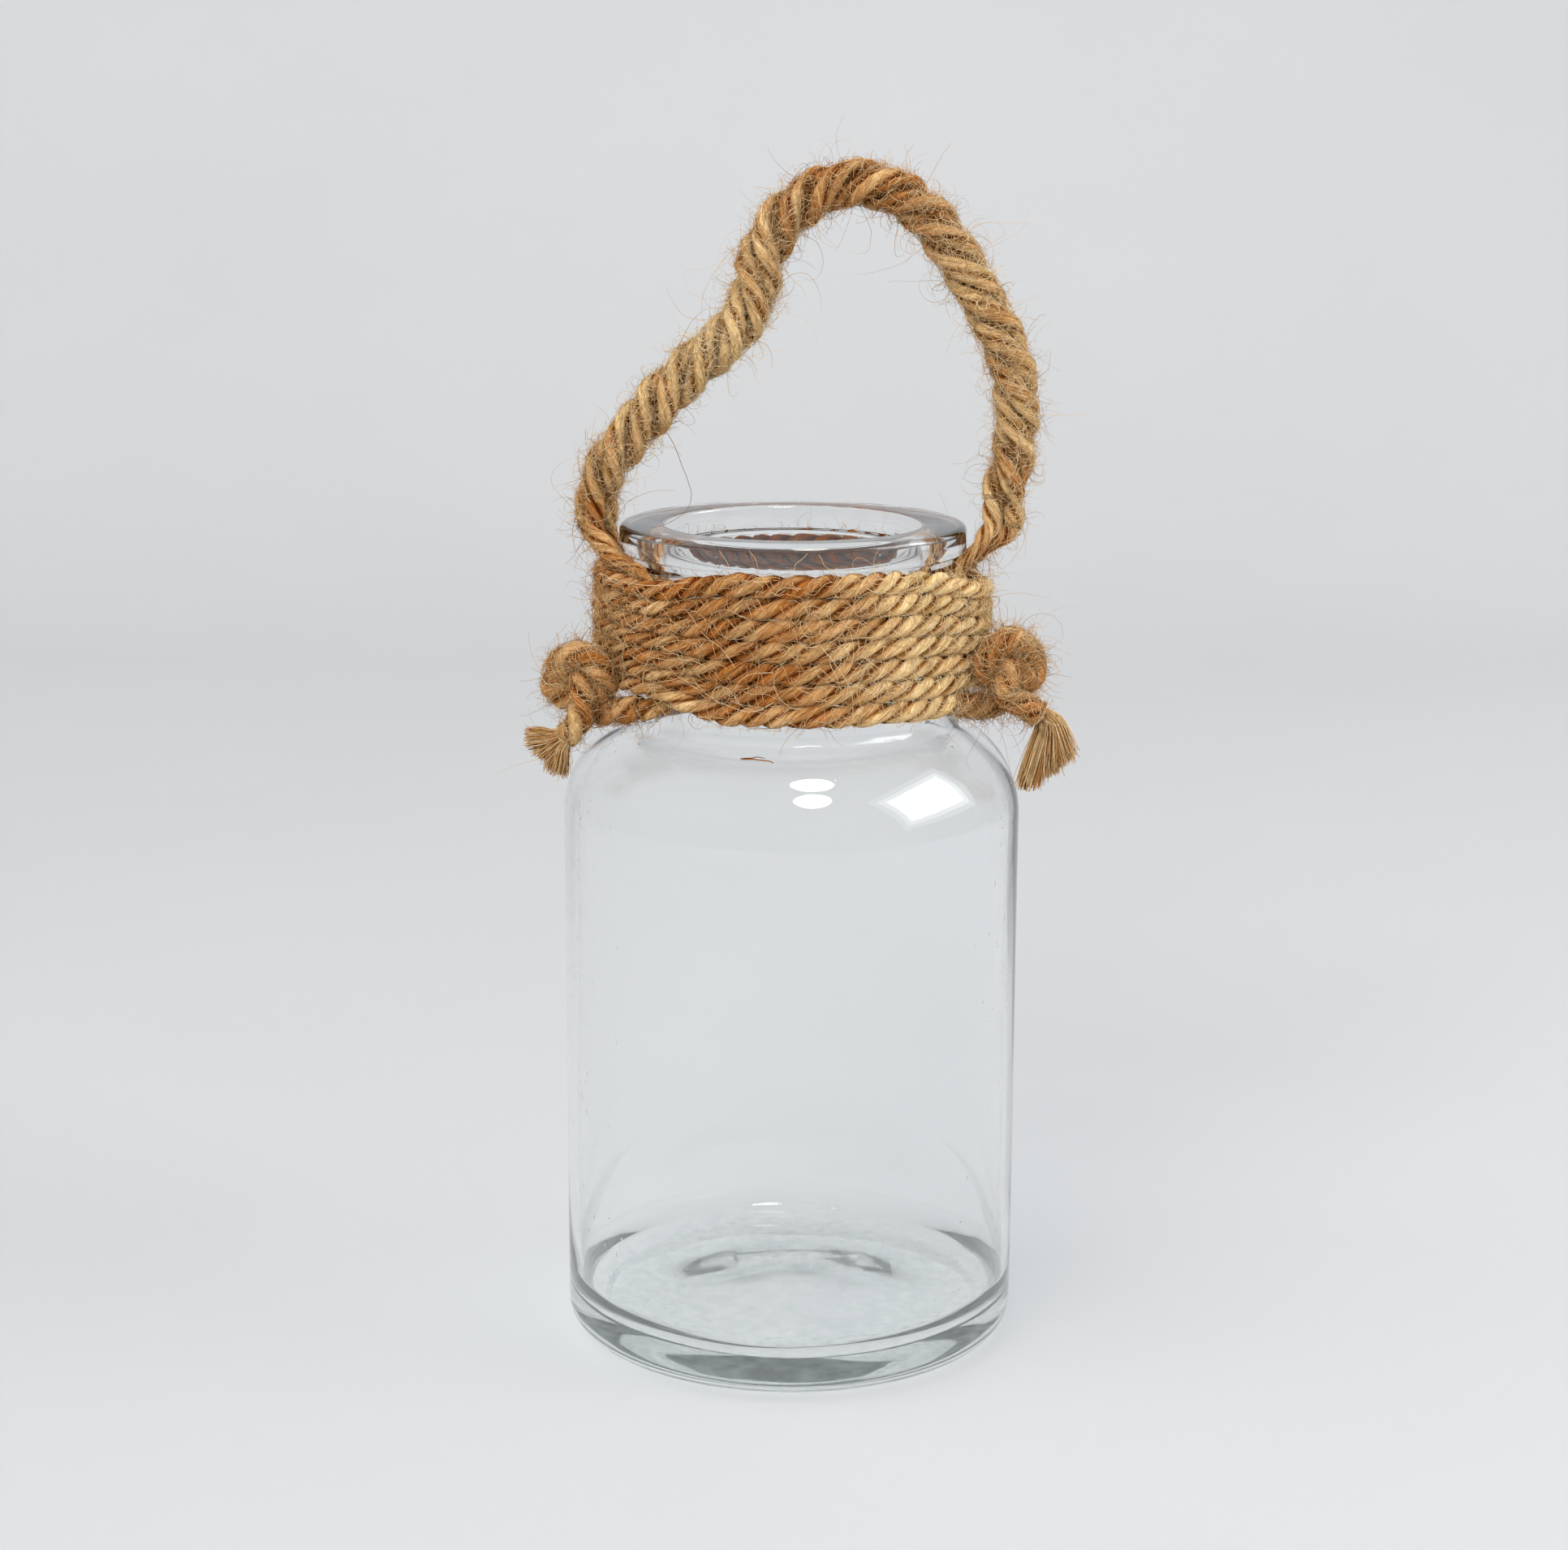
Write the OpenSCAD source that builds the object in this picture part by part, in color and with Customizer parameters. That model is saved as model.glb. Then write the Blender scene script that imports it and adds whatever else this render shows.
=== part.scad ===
// Glass jar lantern with a jute rope wound round its neck and a carrying handle laid up from three
// passes of the same rope. Millimetres, +Z up, origin on the jar's axis at the surface it stands on.
// The rope is one length: left knot, up under the winding, over to the right as the first strand,
// round the right bight, back as the second, round the left bight, over again as the third, then
// down the neck in seven turns that end in the right knot.

/* [Jar] */
// Height of the jar from the table to the top of the rim
jar_h = 200; // [160:1:260]
// Diameter of the body
body_d = 110; // [96:1:140]
// Thickness of the body's wall
wall = 3.2; // [2.4:0.1:5]
// Thickness of the floor above the standing ring
floor_t = 6; // [4:0.5:9]
// Outside radius between the standing ring and the wall
heel_r = 7; // [4:0.5:10]
// Radius of the shallow hollow under the floor
push_up_r = 33; // [20:1:36]
// Height of that hollow at its middle
push_up_h = 2.5; // [1:0.5:3]
// Radius of the shoulder's outside curve
shoulder_r = 24; // [16:1:30]
// Radius of the hollow curve between shoulder and neck
neck_fillet = 4; // [3:0.5:6]

/* [Neck and rim] */
// Outside diameter of the neck that the rope is wound on
neck_d = 76.6; // [70:0.1:82]
// Thickness of the neck's wall
neck_wall = 3.6; // [2.6:0.1:5]
// How far the rim stands out past the neck
rim_lip = 3; // [2:0.1:4]
// Height of the rim's ring
rim_h = 6.5; // [5:0.5:9]
// Diameter of the mouth
mouth_d = 61; // [45:0.5:64]
// Length of the mouth's straight wall
mouth_l = 8; // [6:0.5:12]
// Bare neck left between the winding and the shoulder
neck_bare = 2.9; // [1:0.1:12]

/* [Rope] */
// Diameter of the rope where it is free, in the knots
rope_d = 5; // [4:0.1:5.4]
// Diameter that the rope is drawn down to in the winding
wound_d = 4.75; // [3.8:0.05:4.9]
// Gap between one turn and the next
turn_gap = 0.22; // [0.2:0.02:0.6]
// Gap between the winding and the glass
glass_gap = 0.3; // [0.2:0.05:0.6]
// Thickness of a strand squeezed between the winding and the glass
squeezed_t = 2.6; // [2:0.1:2.8]

/* [Handle] */
// Diameter of each strand at the handle's two ends, drawn tight against the other two
strand_d = 4.4; // [3.8:0.1:4.6]
// Diameter of each strand away from the ends
slack_d = 4.7; // [4:0.1:4.8]
// Radius from the handle's centreline to a strand's centreline
lay_r = 2.9; // [2.7:0.05:3.3]
// How much further out the strands lie in the handle's looser left half
looseness = 0.3; // [0:0.1:0.8]
// Full turns that the strands make about each other, besides the last sixth of a turn
lay_turns = 6; // [5:1:7]
// Clearance between the folded handle and the rim's top
fold_clear = 1.5; // [1.3:0.1:3]
// Gap between the handle's rounded ends and the roots that they bend on
root_gap = 1.1; // [1:0.1:2]

/* [Knots] */
// Centre-to-centre spacing of the rope where it crosses itself in a knot
knot_pitch = 5.5; // [5.3:0.1:6.4]
// Diameter of one ply where it leaves the rope's end
ply_d = 2.6; // [1.8:0.1:3]
// Diameter of one ply at its brushed-out end
brush_d = 4.6; // [3:0.1:5]

/* [Hidden] */

// ---- Worked-out sizes ----
body_r = body_d / 2;
neck_r = neck_d / 2;
rim_r = neck_r + rim_lip;
mouth_r = mouth_d / 2;
rim_bottom = jar_h - rim_h;

// The winding runs down as its angle grows. Angle 0 is +X, the handle's right side.
pitch = wound_d + turn_gap;
wind_r = neck_r + glass_gap + wound_d / 2;
last_row = 6;
rim_gap = 0.3;                         // gap between the rim's underside and the first turn
tuck_gap = 0.4;                        // gap between the tucked strands and the glass
swell = squeezed_t + tuck_gap + 0.5;   // how far it stands out over the strands tucked under it
dip = 2.6;                             // how far those strands press the first turn down
left_rise = 4.5;                       // how far the last turn is pushed up, at the left
right_rise = 2.6;                      // and at the right
wind_from = 22;
wind_to = 330 + last_row * 360;
step_arc = 85;                         // last part of each turn, where it steps down to the next
wind_top = rim_bottom - rim_gap - wound_d / 2;
neck_base = wind_top - last_row * pitch - wound_d / 2 - neck_bare;
tuck_r = neck_r + tuck_gap + squeezed_t / 2;

// Shoulder: an outside arc, then a hollow fillet that ends upright at the neck.
shoulder_cx = body_r - shoulder_r;
fillet_cx = neck_r + neck_fillet;
reach = shoulder_r + neck_fillet;
shoulder_cz = neck_base - sqrt(reach * reach - pow(fillet_cx - shoulder_cx, 2));
shoulder_end = acos((fillet_cx - shoulder_cx) / reach);

// The handle swings about the X axis at height hinge_z.
bundle_r = lay_r + strand_d / 2;
hinge_z = jar_h + fold_clear + bundle_r;
rim_side_gap = 0.4;                    // gap between the folded handle's left root and the rim
left_x = rim_r + rim_side_gap + bundle_r;
right_x = left_x + 3;
end_r = bundle_r + 0.4;                // radius of the handle's rounded ends about the hinge
root_r = end_r + root_gap;             // radius of the hollow in the roots' tops
top_z = hinge_z - root_r;

sides = 8;                             // flats round a rope
round_rim = 1.6;                       // outside edge of the rim
ease = 1;                              // smaller edges of the rim and mouth

// ---- Small functions ----
function unit(v) = v / norm(v);
function polar(r, a, z) = [r * cos(a), r * sin(a), z];
function arc(cx, cz, r, from, to, n) = [for (i = [0:n]) let (a = from + (to - from) * i / n)
    [cx + r * cos(a), cz + r * sin(a)]];
function smoothstep(t) = let (c = min(1, max(0, t))) c * c * (3 - 2 * c);

// A smooth curve through points, n steps from each point to the next.
function between(a, b, c, d, t) = 0.5 * (2 * b + (c - a) * t + (2 * a - 5 * b + 4 * c - d) * t * t
    + (3 * b - a - 3 * c + d) * t * t * t);
function curve(p, n) = let (m = len(p) - 1) concat(
    [for (i = [0:m - 1]) for (k = [0:n - 1])
        between(p[max(i - 1, 0)], p[i], p[i + 1], p[min(i + 2, m)], k / n)],
    [p[m]]);

// Distance along a path at each of its points, and the same path in n equal steps.
function along(p) = [for (i = 0, s = 0; i < len(p);
    s = s + (i + 1 < len(p) ? norm(p[i + 1] - p[i]) : 0), i = i + 1) s];
function even(p, n) = let (s = along(p), total = s[len(s) - 1])
    [for (j = [0:n]) [for (c = [0:2]) lookup(total * j / n, [for (i = [0:len(p) - 1]) [s[i], p[i][c]]])]];
function tangents(p) = let (m = len(p) - 1) [for (i = [0:m]) unit(p[min(i + 1, m)] - p[max(i - 1, 0)])];
// One normal for each point, carried along the path without twisting.
function square_to(u, t) = unit(u - (u * t) * t);
function normals(t, first) = [for (i = 0, u = square_to(first, t[0]); i < len(t);
    i = i + 1, u = i < len(t) ? square_to(u, t[i]) : u) u];
function ring(c, u, v, ru, rv) = [for (k = [0:sides - 1]) let (a = 360 * (k + 0.5) / sides)
    c + ru * cos(a) * u + rv * sin(a) * v];
// Rings of a round rope along a path; first is any direction that isn't along the path's start.
function rope_rings(path, d, first) = let (t = tangents(path), u = normals(t, first))
    [for (i = [0:len(path) - 1]) ring(path[i], u[i], cross(t[i], u[i]), d / 2, d / 2)];

// Skin over rings of points, closed by a fan at each end.
module skin(rings) {
    n = len(rings[0]);
    last = (len(rings) - 1) * n;
    polyhedron(
        points = [for (r = rings) each r],
        faces = concat(
            [for (k = [1:n - 2]) [0, k, k + 1]],
            [for (k = [1:n - 2]) [last, last + k + 1, last + k]],
            [for (i = [0:len(rings) - 2]) for (k = [0:n - 1]) let (a = i * n + k, b = i * n + (k + 1) % n)
                each [[a, a + n, b], [b, a + n, b + n]]]),
        convexity = 8);
}

// A ring cut square to a path, moved up or down onto a cylinder of radius r about the hinge.
function onto_hinge(ring_points, r) = [for (p = ring_points) [p.x, p.y, hinge_z - sqrt(r * r - p.y * p.y)]];

// Rope held against the neck: p lists [radius, angle, height, radial thickness, width].
function pressed_rings(p, steps) = let (
    path = curve([for (q = p) polar(q[0], q[1], q[2])], steps),
    size = curve([for (q = p) [q[3], q[4], 0]], steps),
    t = tangents(path))
    [for (i = [0:len(path) - 1]) let (out = unit([path[i].x, path[i].y, 0]), v = unit(cross(t[i], out)),
        u = cross(v, t[i])) ring(path[i], u, v, size[i].x / 2, size[i].y / 2)];

// ---- Glass ----
module glass_jar() {
    lip_r = mouth_r + ease;
    inner_neck_r = neck_r - neck_wall;
    floor_z = push_up_h + floor_t;
    inner_heel = heel_r + 1;
    inner_r = body_r - wall;
    mouth_end = jar_h - mouth_l;
    profile = concat(
        [for (i = [0:6]) [push_up_r * i / 6, push_up_h * (1 - pow(i / 6, 2))]],
        arc(body_r - heel_r, heel_r, heel_r, -90, 0, 8),
        arc(shoulder_cx, shoulder_cz, shoulder_r, 0, shoulder_end, 12),
        arc(fillet_cx, neck_base, neck_fillet, 180 + shoulder_end, 180, 5),
        [[neck_r, rim_bottom - ease], [neck_r + ease, rim_bottom]],
        arc(rim_r - ease, rim_bottom + ease, ease, -90, 0, 4),
        arc(rim_r - round_rim, jar_h - round_rim, round_rim, 0, 90, 5),
        arc(lip_r, jar_h - ease, ease, 90, 180, 4),
        [[mouth_r, mouth_end]],
        [[inner_neck_r, mouth_end - 5]],
        [[inner_neck_r, neck_base + 4]],
        arc(fillet_cx, neck_base, neck_fillet + wall, 180, 180 + shoulder_end, 6),
        arc(shoulder_cx, shoulder_cz, shoulder_r - wall, shoulder_end, 0, 10),
        arc(inner_r - inner_heel, floor_z + inner_heel, inner_heel, 0, -90, 7),
        [[0, floor_z]]);
    color([0.80, 0.90, 0.92, 0.5])
        rotate_extrude($fn = 96)
            polygon(profile);
}

// ---- Winding ----
// How much of the swell and dip there is at an angle: all of it over the tucked strands at the
// right (0) and left (190), none at the front and back.
function near(a, middle, half) = let (off = abs(((a - middle + 540) % 360) - 180))
    1 - smoothstep((off - half) / 28);
function swelling(a) = max(near(a, 0, 16), near(a, 190, 32));
// The turns lie closer there, and each is squeezed by as much.
function squeeze(a) = ((dip + right_rise) * near(a, 0, 16) + (dip + left_rise) * near(a, 190, 32)) / last_row;
function row(a) = let (b = a - wind_from, turn = floor(b / 360))
    turn + smoothstep((b - 360 * turn - 360) / step_arc + 1);
function wind_z(a) = wind_top - (pitch - squeeze(a)) * row(a) - dip * swelling(a);
function wind_point(a) = polar(wind_r + swell * swelling(a), a, wind_z(a));
wind_steps = 36;                       // rings to a turn
winding_angles = [for (i = [0:ceil((wind_to - wind_from) * wind_steps / 360)])
    min(wind_to, wind_from + i * 360 / wind_steps)];

module neck_winding() {
    path = [for (a = winding_angles) wind_point(a)];
    t = tangents(path);
    u = normals(t, [0, 0, 1]);
    color([0.72, 0.52, 0.30])
        skin([for (i = [0:len(path) - 1]) let (less = squeeze(winding_angles[i]))
            ring(path[i], u[i], cross(t[i], u[i]), (wound_d - less) / 2, (wound_d + less / 2) / 2)]);
}

// ---- Handle ----
// Route of the handle's centreline between its two ends, seen from the front: x and height above
// the hinge, drawn for a left end at x = -route_x and widened or narrowed with the rim.
route_x = 46.8;
HANDLE_ROUTE = [[-45, 5], [-41, 11], [-36, 17], [-29, 25], [-21.5, 32], [-14, 38.5], [-9.5, 46.5],
                [-7.5, 56], [-2.5, 64.5], [6, 70.8], [15, 72.8], [24.5, 70], [32.5, 63.5], [39, 54.5],
                [45, 44], [50.5, 33], [52.5, 21.5], [52.3, 11], [50.7, 4]];
handle_steps = 76;
handle_line = even(curve(concat(
    [[-left_x, 0, hinge_z]],
    [for (p = HANDLE_ROUTE) [p[0] * left_x / route_x, 0, hinge_z + p[1]]],
    [[right_x, 0, hinge_z]]), 8), handle_steps);
handle_twist = 360 * lay_turns + 60;

// From 0 at the handle's ends to 1 away from them, and the same for its left half alone.
end_steps = 10;
loose_until = 32;
loose_fade = 14;
function away(i) = smoothstep(i / end_steps) * smoothstep((handle_steps - i) / end_steps);
function at_left(i) = smoothstep(i / end_steps) * (1 - smoothstep((i - loose_until) / loose_fade));

function strand_path(phase) = let (m = handle_steps, t0 = tangents(handle_line),
    t = [for (i = [0:m]) i == 0 ? [0, 0, 1] : i == m ? [0, 0, -1] : t0[i]])
    [for (i = [0:m]) let (a = phase - handle_twist * i / m, y = [0, 1, 0],
        r = lay_r + (slack_d - strand_d) / 2 * away(i) + looseness * at_left(i))
        handle_line[i] + r * (cos(a) * y + sin(a) * cross(t[i], y))];

// The strand's ends are rounded about the hinge, so that they turn clear of the roots.
module handle_strand(phase) {
    path = strand_path(phase);
    t = tangents(path);
    u = normals(t, [0, 1, 0]);
    m = handle_steps;
    rings = [for (i = [0:m]) let (r = (strand_d + (slack_d - strand_d) * away(i)) / 2)
        ring(path[i], u[i], cross(t[i], u[i]), r, r)];
    color([0.78, 0.58, 0.34])
        skin([for (i = [0:m]) i == 0 || i == m ? onto_hinge(rings[i], end_r) : rings[i]]);
}

module handle_strand_1() { handle_strand(300); }
module handle_strand_2() { handle_strand(180); }
module handle_strand_3() { handle_strand(60); }

// ---- Roots: the fixed lengths under the handle, tucked beneath the winding ----
// Radius and angle of a root's top, under the strand that stands at phase in the handle's end.
function top_at(x, dx, dy) = let (px = x + dx, py = dy) [norm([px, py]), atan2(py, px)];
function root_top(x, dx, dy, z) = let (q = top_at(x, dx, dy)) [q[0], q[1], z, strand_d, strand_d];
c30 = lay_r * cos(30);
c60 = lay_r / 2;

// A root's rings; hinged says which ends lie under the handle and are hollowed to match it.
function root_rings(p, hinged) = let (rings = pressed_rings(p, 4), m = len(rings) - 1)
    [for (i = [0:m]) i == 0 || (i == m && hinged == 2) ? onto_hinge(rings[i], root_r) : rings[i]];

// Depth under the rim's ring and height above the neck's base, drawn for turns drawn_pitch apart
// and kept level with the same turns when those lie closer or wider.
drawn_pitch = 4.97;
function below_rim(h) = rim_bottom - h * pitch / drawn_pitch;
function above_base(h) = neck_base + h * pitch / drawn_pitch;

// Two strands joined by a bight that is tucked under the winding. The left one's front limb lies
// in the groove between rim and winding before it tucks in.
LEFT_BIGHT = [
    root_top(-left_x, 0, -lay_r, top_z),
    [left_x - 0.2, 185.2, top_z - 2.6, 4.4, 4.4],
    [left_x - 1.4, 189, rim_bottom + 1.6, 4.2, 4.2],
    [rim_r + 2.2, 195, rim_bottom - 1, 4.2, 3],
    [rim_r + 0.7, 202, rim_bottom - 1.55, 4.2, 2.3],
    [tuck_r + 0.8, 209.5, rim_bottom - 2.4, 3, 2.6],
    [tuck_r, 213.5, below_rim(5.5), squeezed_t, 4],
    [tuck_r, 213.5, below_rim(9.5), squeezed_t, 4.6],
    [tuck_r, 206, below_rim(12.5), squeezed_t, 4.6],
    [tuck_r, 196, below_rim(13), squeezed_t, 4.6],
    [tuck_r, 186, below_rim(12), squeezed_t, 4.6],
    [tuck_r, 181.5, below_rim(8), squeezed_t, 5.2],
    [tuck_r + 0.1, 181, rim_bottom - 4.2, 2.4, 5.2],
    [rim_r + 2.6, 180.8, rim_bottom - 0.6, 2.8, 4.8],
    [left_x + 1.2, 179.4, top_z - 2.6, 4.2, 4.4],
    root_top(-left_x, -c30, c60, top_z)];

RIGHT_BIGHT = [
    root_top(right_x, -c30, -c60, top_z),
    [rim_r + 4.6, -4, top_z - 2.5, 4, 4.4],
    [rim_r + 1.4, -7.4, rim_bottom - 1, 2.1, 5.4],
    [tuck_r + 0.1, -9, rim_bottom - 4.2, 2.4, 5.2],
    [tuck_r, -9.4, below_rim(8), squeezed_t, 5.2],
    [tuck_r, -8.2, below_rim(11.5), squeezed_t, 4.6],
    [tuck_r, -5.2, below_rim(12.9), squeezed_t, 4.4],
    [tuck_r, -2.2, below_rim(11.5), squeezed_t, 4.6],
    [tuck_r, -1, below_rim(8), squeezed_t, 5.2],
    [tuck_r + 0.1, -1, rim_bottom - 4.4, 2.4, 5.2],
    [rim_r + 1.6, -0.9, rim_bottom - 1.3, 2.2, 5.2],
    [rim_r + 5.2, -1.1, rim_bottom + 1.4, 3.4, 4.6],
    [right_x + 1.4, -1.4, top_z - 2.2, 4.2, 4.4],
    root_top(right_x, c30, -c60, top_z)];

// The rope's first length rises under every turn, from below the winding at the front left.
LEFT_ROOT = [
    root_top(-left_x, c30, c60, top_z),
    [rim_r + 3.1, 176.4, top_z - 2.5, 4, 4.4],
    [rim_r + 1.4, 174.5, rim_bottom - 0.8, 2.4, 5],
    [tuck_r + 0.2, 173, rim_bottom - 4, 2.4, 5.2],
    [tuck_r, 172.6, below_rim(10), squeezed_t, 5.2],
    [tuck_r, 176, above_base(20.8), squeezed_t, 5.2],
    [tuck_r, 190, above_base(14.8), squeezed_t, 5.2],
    [tuck_r, 208, above_base(12.3), squeezed_t, 5.2],
    [tuck_r, 221, above_base(10.5), squeezed_t, 5],
    [tuck_r + 0.2, 226.5, above_base(7.8), 2.4, 4.4],
    [tuck_r + 1.6, 225, above_base(5.3), 2.8, 4.4],
    [tuck_r + 4, 220, above_base(4.6), 4.4, 4.4]];

// The last strand drops behind the right side into the winding's first turn.
RIGHT_LEAD = [
    root_top(right_x, 0, lay_r, top_z),
    [right_x - 1.2, 5.4, top_z - 2.6, 4.2, 4.4],
    [rim_r + 4.6, 9.5, rim_bottom - 0.4, 4.4, 4.4],
    [wind_r + swell + 0.4, 15.5, wind_z(wind_from) + 1, 4.4, 4.4],
    [wind_r + swell * swelling(18.5), 18.5, wind_z(wind_from) + 0.4, 4.4, 4.4],
    [wind_r + swell * swelling(21.3), 21.3, wind_z(wind_from) + 0.1, 4.4, 4.4]];

module root(p, hinged) {
    color([0.70, 0.50, 0.28])
        skin(root_rings(p, hinged));
}

module left_root() { root(LEFT_ROOT, 1); }
module left_bight() { root(LEFT_BIGHT, 2); }
module right_bight() { root(RIGHT_BIGHT, 2); }
module right_lead() { root(RIGHT_LEAD, 1); }

// ---- Knots and tails ----
// An overhand knot, as a trefoil opened at its rim, turned way (1 or -1) in its own plane. It faces
// along angle face, opens at angle turn, and open is half the parameter left out there.
function trefoil(centre, face, turn, open, way, n) = let (
    across = [-sin(face), cos(face), 0],
    out = [cos(face), sin(face), 0])
    [for (i = [0:n]) let (t = way * (open + (360 - 2 * open) * i / n), r = knot_pitch * (1 + cos(3 * t) / 2))
        centre + r * cos(2 * t + turn) * across + r * sin(2 * t + turn) * [0, 0, 1]
            - way * knot_pitch / 2 * sin(3 * t) * out];

left_knot_c = polar(wind_r + swell + 10, 204, neck_base + 9.6);
right_knot_c = polar(wind_r + swell + 8.8, -16.5, neck_base + 12.3);

left_knot_path = concat(
    curve([
        polar(tuck_r + 4.6, 219.2, above_base(4.5)),
        polar(tuck_r + 7.3, 213.6, above_base(3.6)),
        polar(tuck_r + 10.2, 207, neck_base + 2.4),
        polar(tuck_r + 12.5, 202.5, neck_base + 2.3)], 4),
    trefoil(left_knot_c, 222, 278, 17.5, -1, 46),
    curve([
        left_knot_c + [0.4, -4.6, -8],
        left_knot_c + [-1, -4.4, -10.6],
        left_knot_c + [-2.8, -3.6, -12.2]], 2));

right_knot_path = concat(
    curve([
        wind_point(wind_to + 0.6) + [0, 0, -0.1],
        polar(wind_r + swell + 1.4, 336.5, wind_z(wind_to) - 1.4),
        polar(wind_r + swell + 4.8, 342, wind_z(wind_to) - 2),
        polar(wind_r + swell + 6.8, 345.8, wind_z(wind_to) - 0.9)], 4),
    trefoil(right_knot_c, -40, 262, 17.5, 1, 46),
    curve([
        right_knot_c + [2.2, -5, -7.8],
        right_knot_c + [5, -5, -9],
        right_knot_c + [7.2, -4.6, -10.6]], 2));

module knot(path, first) {
    color([0.74, 0.54, 0.31])
        skin(rope_rings(path, rope_d, first));
}

module left_knot() { knot(left_knot_path, [0, 0, 1]); }
module right_knot() { knot(right_knot_path, [0, 0, 1]); }

// The rope's last length, unlaid and brushed out: each ply swells from the rope's end to a blunt
// brush. way is where they point, spread runs from the middle ply's end to the last one's.
module tail(path, way, spread, l) {
    start = path[len(path) - 1];
    ahead = unit(start - path[len(path) - 2]);
    n = 9;
    color([0.82, 0.64, 0.40])
        for (k = [-1:1]) {
            spine = curve([
                start + ahead * 0.9 + k * unit(spread) * 0.9,
                start + ahead * 2.5 + k * unit(spread) * 1.1,
                start + ahead * 2.5 + way * (l - 2.5) / 2 + k * spread * 0.6,
                start + ahead * 2.5 + way * (l - 2.5) + k * spread], 3);
            t = tangents(spine);
            u = normals(t, [0, 1, 0]);
            skin([for (i = [0:n]) let (r = (ply_d + (brush_d - ply_d) * smoothstep(1.4 * i / n)) / 2)
                ring(spine[i], u[i], cross(t[i], u[i]), r, r)]);
        }
}

module left_tail() { tail(left_knot_path, unit([-0.72, 0.05, -0.66]), [3.1, -0.6, -3.6], 8); }
module right_tail() { tail(right_knot_path, unit([0, 0, -1]), [4.6, 0.6, 3], 15.5); }

// ---- Parts ----
glass_jar();
left_tail();
left_knot();
left_root();
handle_strand_1();
right_bight();
handle_strand_2();
left_bight();
handle_strand_3();
right_lead();
neck_winding();
right_knot();
right_tail();
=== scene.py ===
"""Looks of a glass jar lantern with jute rope round its neck and a handle of three rope passes.

Metres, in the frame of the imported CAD. The rope's route is worked out in millimetres by the same
rules as the CAD's tubes, then drawn as three plies with loose fibres, so each piece lies on its
node.
"""

import math

import bpy
import numpy as np
from mathutils import Matrix, Vector


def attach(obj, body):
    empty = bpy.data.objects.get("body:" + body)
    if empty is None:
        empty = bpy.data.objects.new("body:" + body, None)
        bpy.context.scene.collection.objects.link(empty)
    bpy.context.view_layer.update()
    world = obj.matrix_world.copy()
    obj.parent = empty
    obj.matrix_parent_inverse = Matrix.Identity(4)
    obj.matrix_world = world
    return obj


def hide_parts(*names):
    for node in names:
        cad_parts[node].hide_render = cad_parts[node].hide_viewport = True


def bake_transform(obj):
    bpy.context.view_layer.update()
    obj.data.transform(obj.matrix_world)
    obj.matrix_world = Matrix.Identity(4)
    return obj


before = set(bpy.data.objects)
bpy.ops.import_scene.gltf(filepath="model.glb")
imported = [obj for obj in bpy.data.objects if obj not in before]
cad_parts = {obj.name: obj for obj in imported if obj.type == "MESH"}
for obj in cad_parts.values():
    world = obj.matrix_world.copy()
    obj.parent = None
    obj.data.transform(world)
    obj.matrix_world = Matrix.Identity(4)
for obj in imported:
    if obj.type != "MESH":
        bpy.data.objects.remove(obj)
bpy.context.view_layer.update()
MM = 0.001

# ---------------------------------------------------------------- camera, fitted to the photo
FOCAL_PX, WIDE_PX, SENSOR_MM = 3833.8, 1932, 36
CAMERA_Y, CAMERA_Z = -0.7352, 0.3011
PITCH_DOWN, YAW, ROLL = (math.radians(a) for a in (12.48, -0.146, 0.262))
cam = bpy.data.objects.new("camera", bpy.data.cameras.new("camera"))
bpy.context.scene.collection.objects.link(cam)
bpy.context.scene.camera = cam
cam.data.sensor_fit = "HORIZONTAL"
cam.data.sensor_width = SENSOR_MM
cam.data.lens = FOCAL_PX / WIDE_PX * SENSOR_MM
cam.data.clip_start, cam.data.clip_end = 0.05, 20
ahead = Vector((math.sin(YAW) * math.cos(PITCH_DOWN), math.cos(YAW) * math.cos(PITCH_DOWN),
                -math.sin(PITCH_DOWN)))
side = Vector((math.cos(YAW), -math.sin(YAW), 0))
up = side.cross(ahead)
side, up = (math.cos(ROLL) * side + math.sin(ROLL) * up,
            -math.sin(ROLL) * side + math.cos(ROLL) * up)
cam.matrix_world = Matrix((
    (side.x, up.x, -ahead.x, 0), (side.y, up.y, -ahead.y, CAMERA_Y),
    (side.z, up.z, -ahead.z, CAMERA_Z), (0, 0, 0, 1)))

# ---------------------------------------------------------------- sizes, in mm, as in the CAD
JAR_H, BODY_R, WALL, FLOOR_T, HEEL_R = 200.0, 55.0, 3.2, 6.0, 7.0
PUSH_R, PUSH_H, SHOULDER_R, FILLET = 33.0, 2.5, 24.0, 4.0
NECK_R, NECK_WALL, RIM_R, RIM_BOTTOM, MOUTH_R, MOUTH_L = 38.3, 3.6, 41.3, 193.5, 30.5, 8.0
WOUND_D, PITCH, SWELL, DIP, LEFT_RISE, RIGHT_RISE = 4.75, 4.97, 3.5, 2.6, 4.5, 2.6
WIND_R = NECK_R + 0.3 + WOUND_D / 2
WIND_FROM, WIND_TO, STEP_ARC = 22, 2490, 85
WIND_TOP = RIM_BOTTOM - 0.3 - WOUND_D / 2
NECK_BASE = WIND_TOP - 6 * PITCH - WOUND_D / 2 - 2.9
RIGHT_TUCK, LEFT_TUCK, TUCK_FADE = (0, 16), (190, 32), 28   # angle and half width, in degrees
SQUEEZED = 2.6
TUCK_R = NECK_R + 0.4 + SQUEEZED / 2
SHOULDER_CX = BODY_R - SHOULDER_R
FILLET_CX = NECK_R + FILLET
REACH = SHOULDER_R + FILLET
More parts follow.
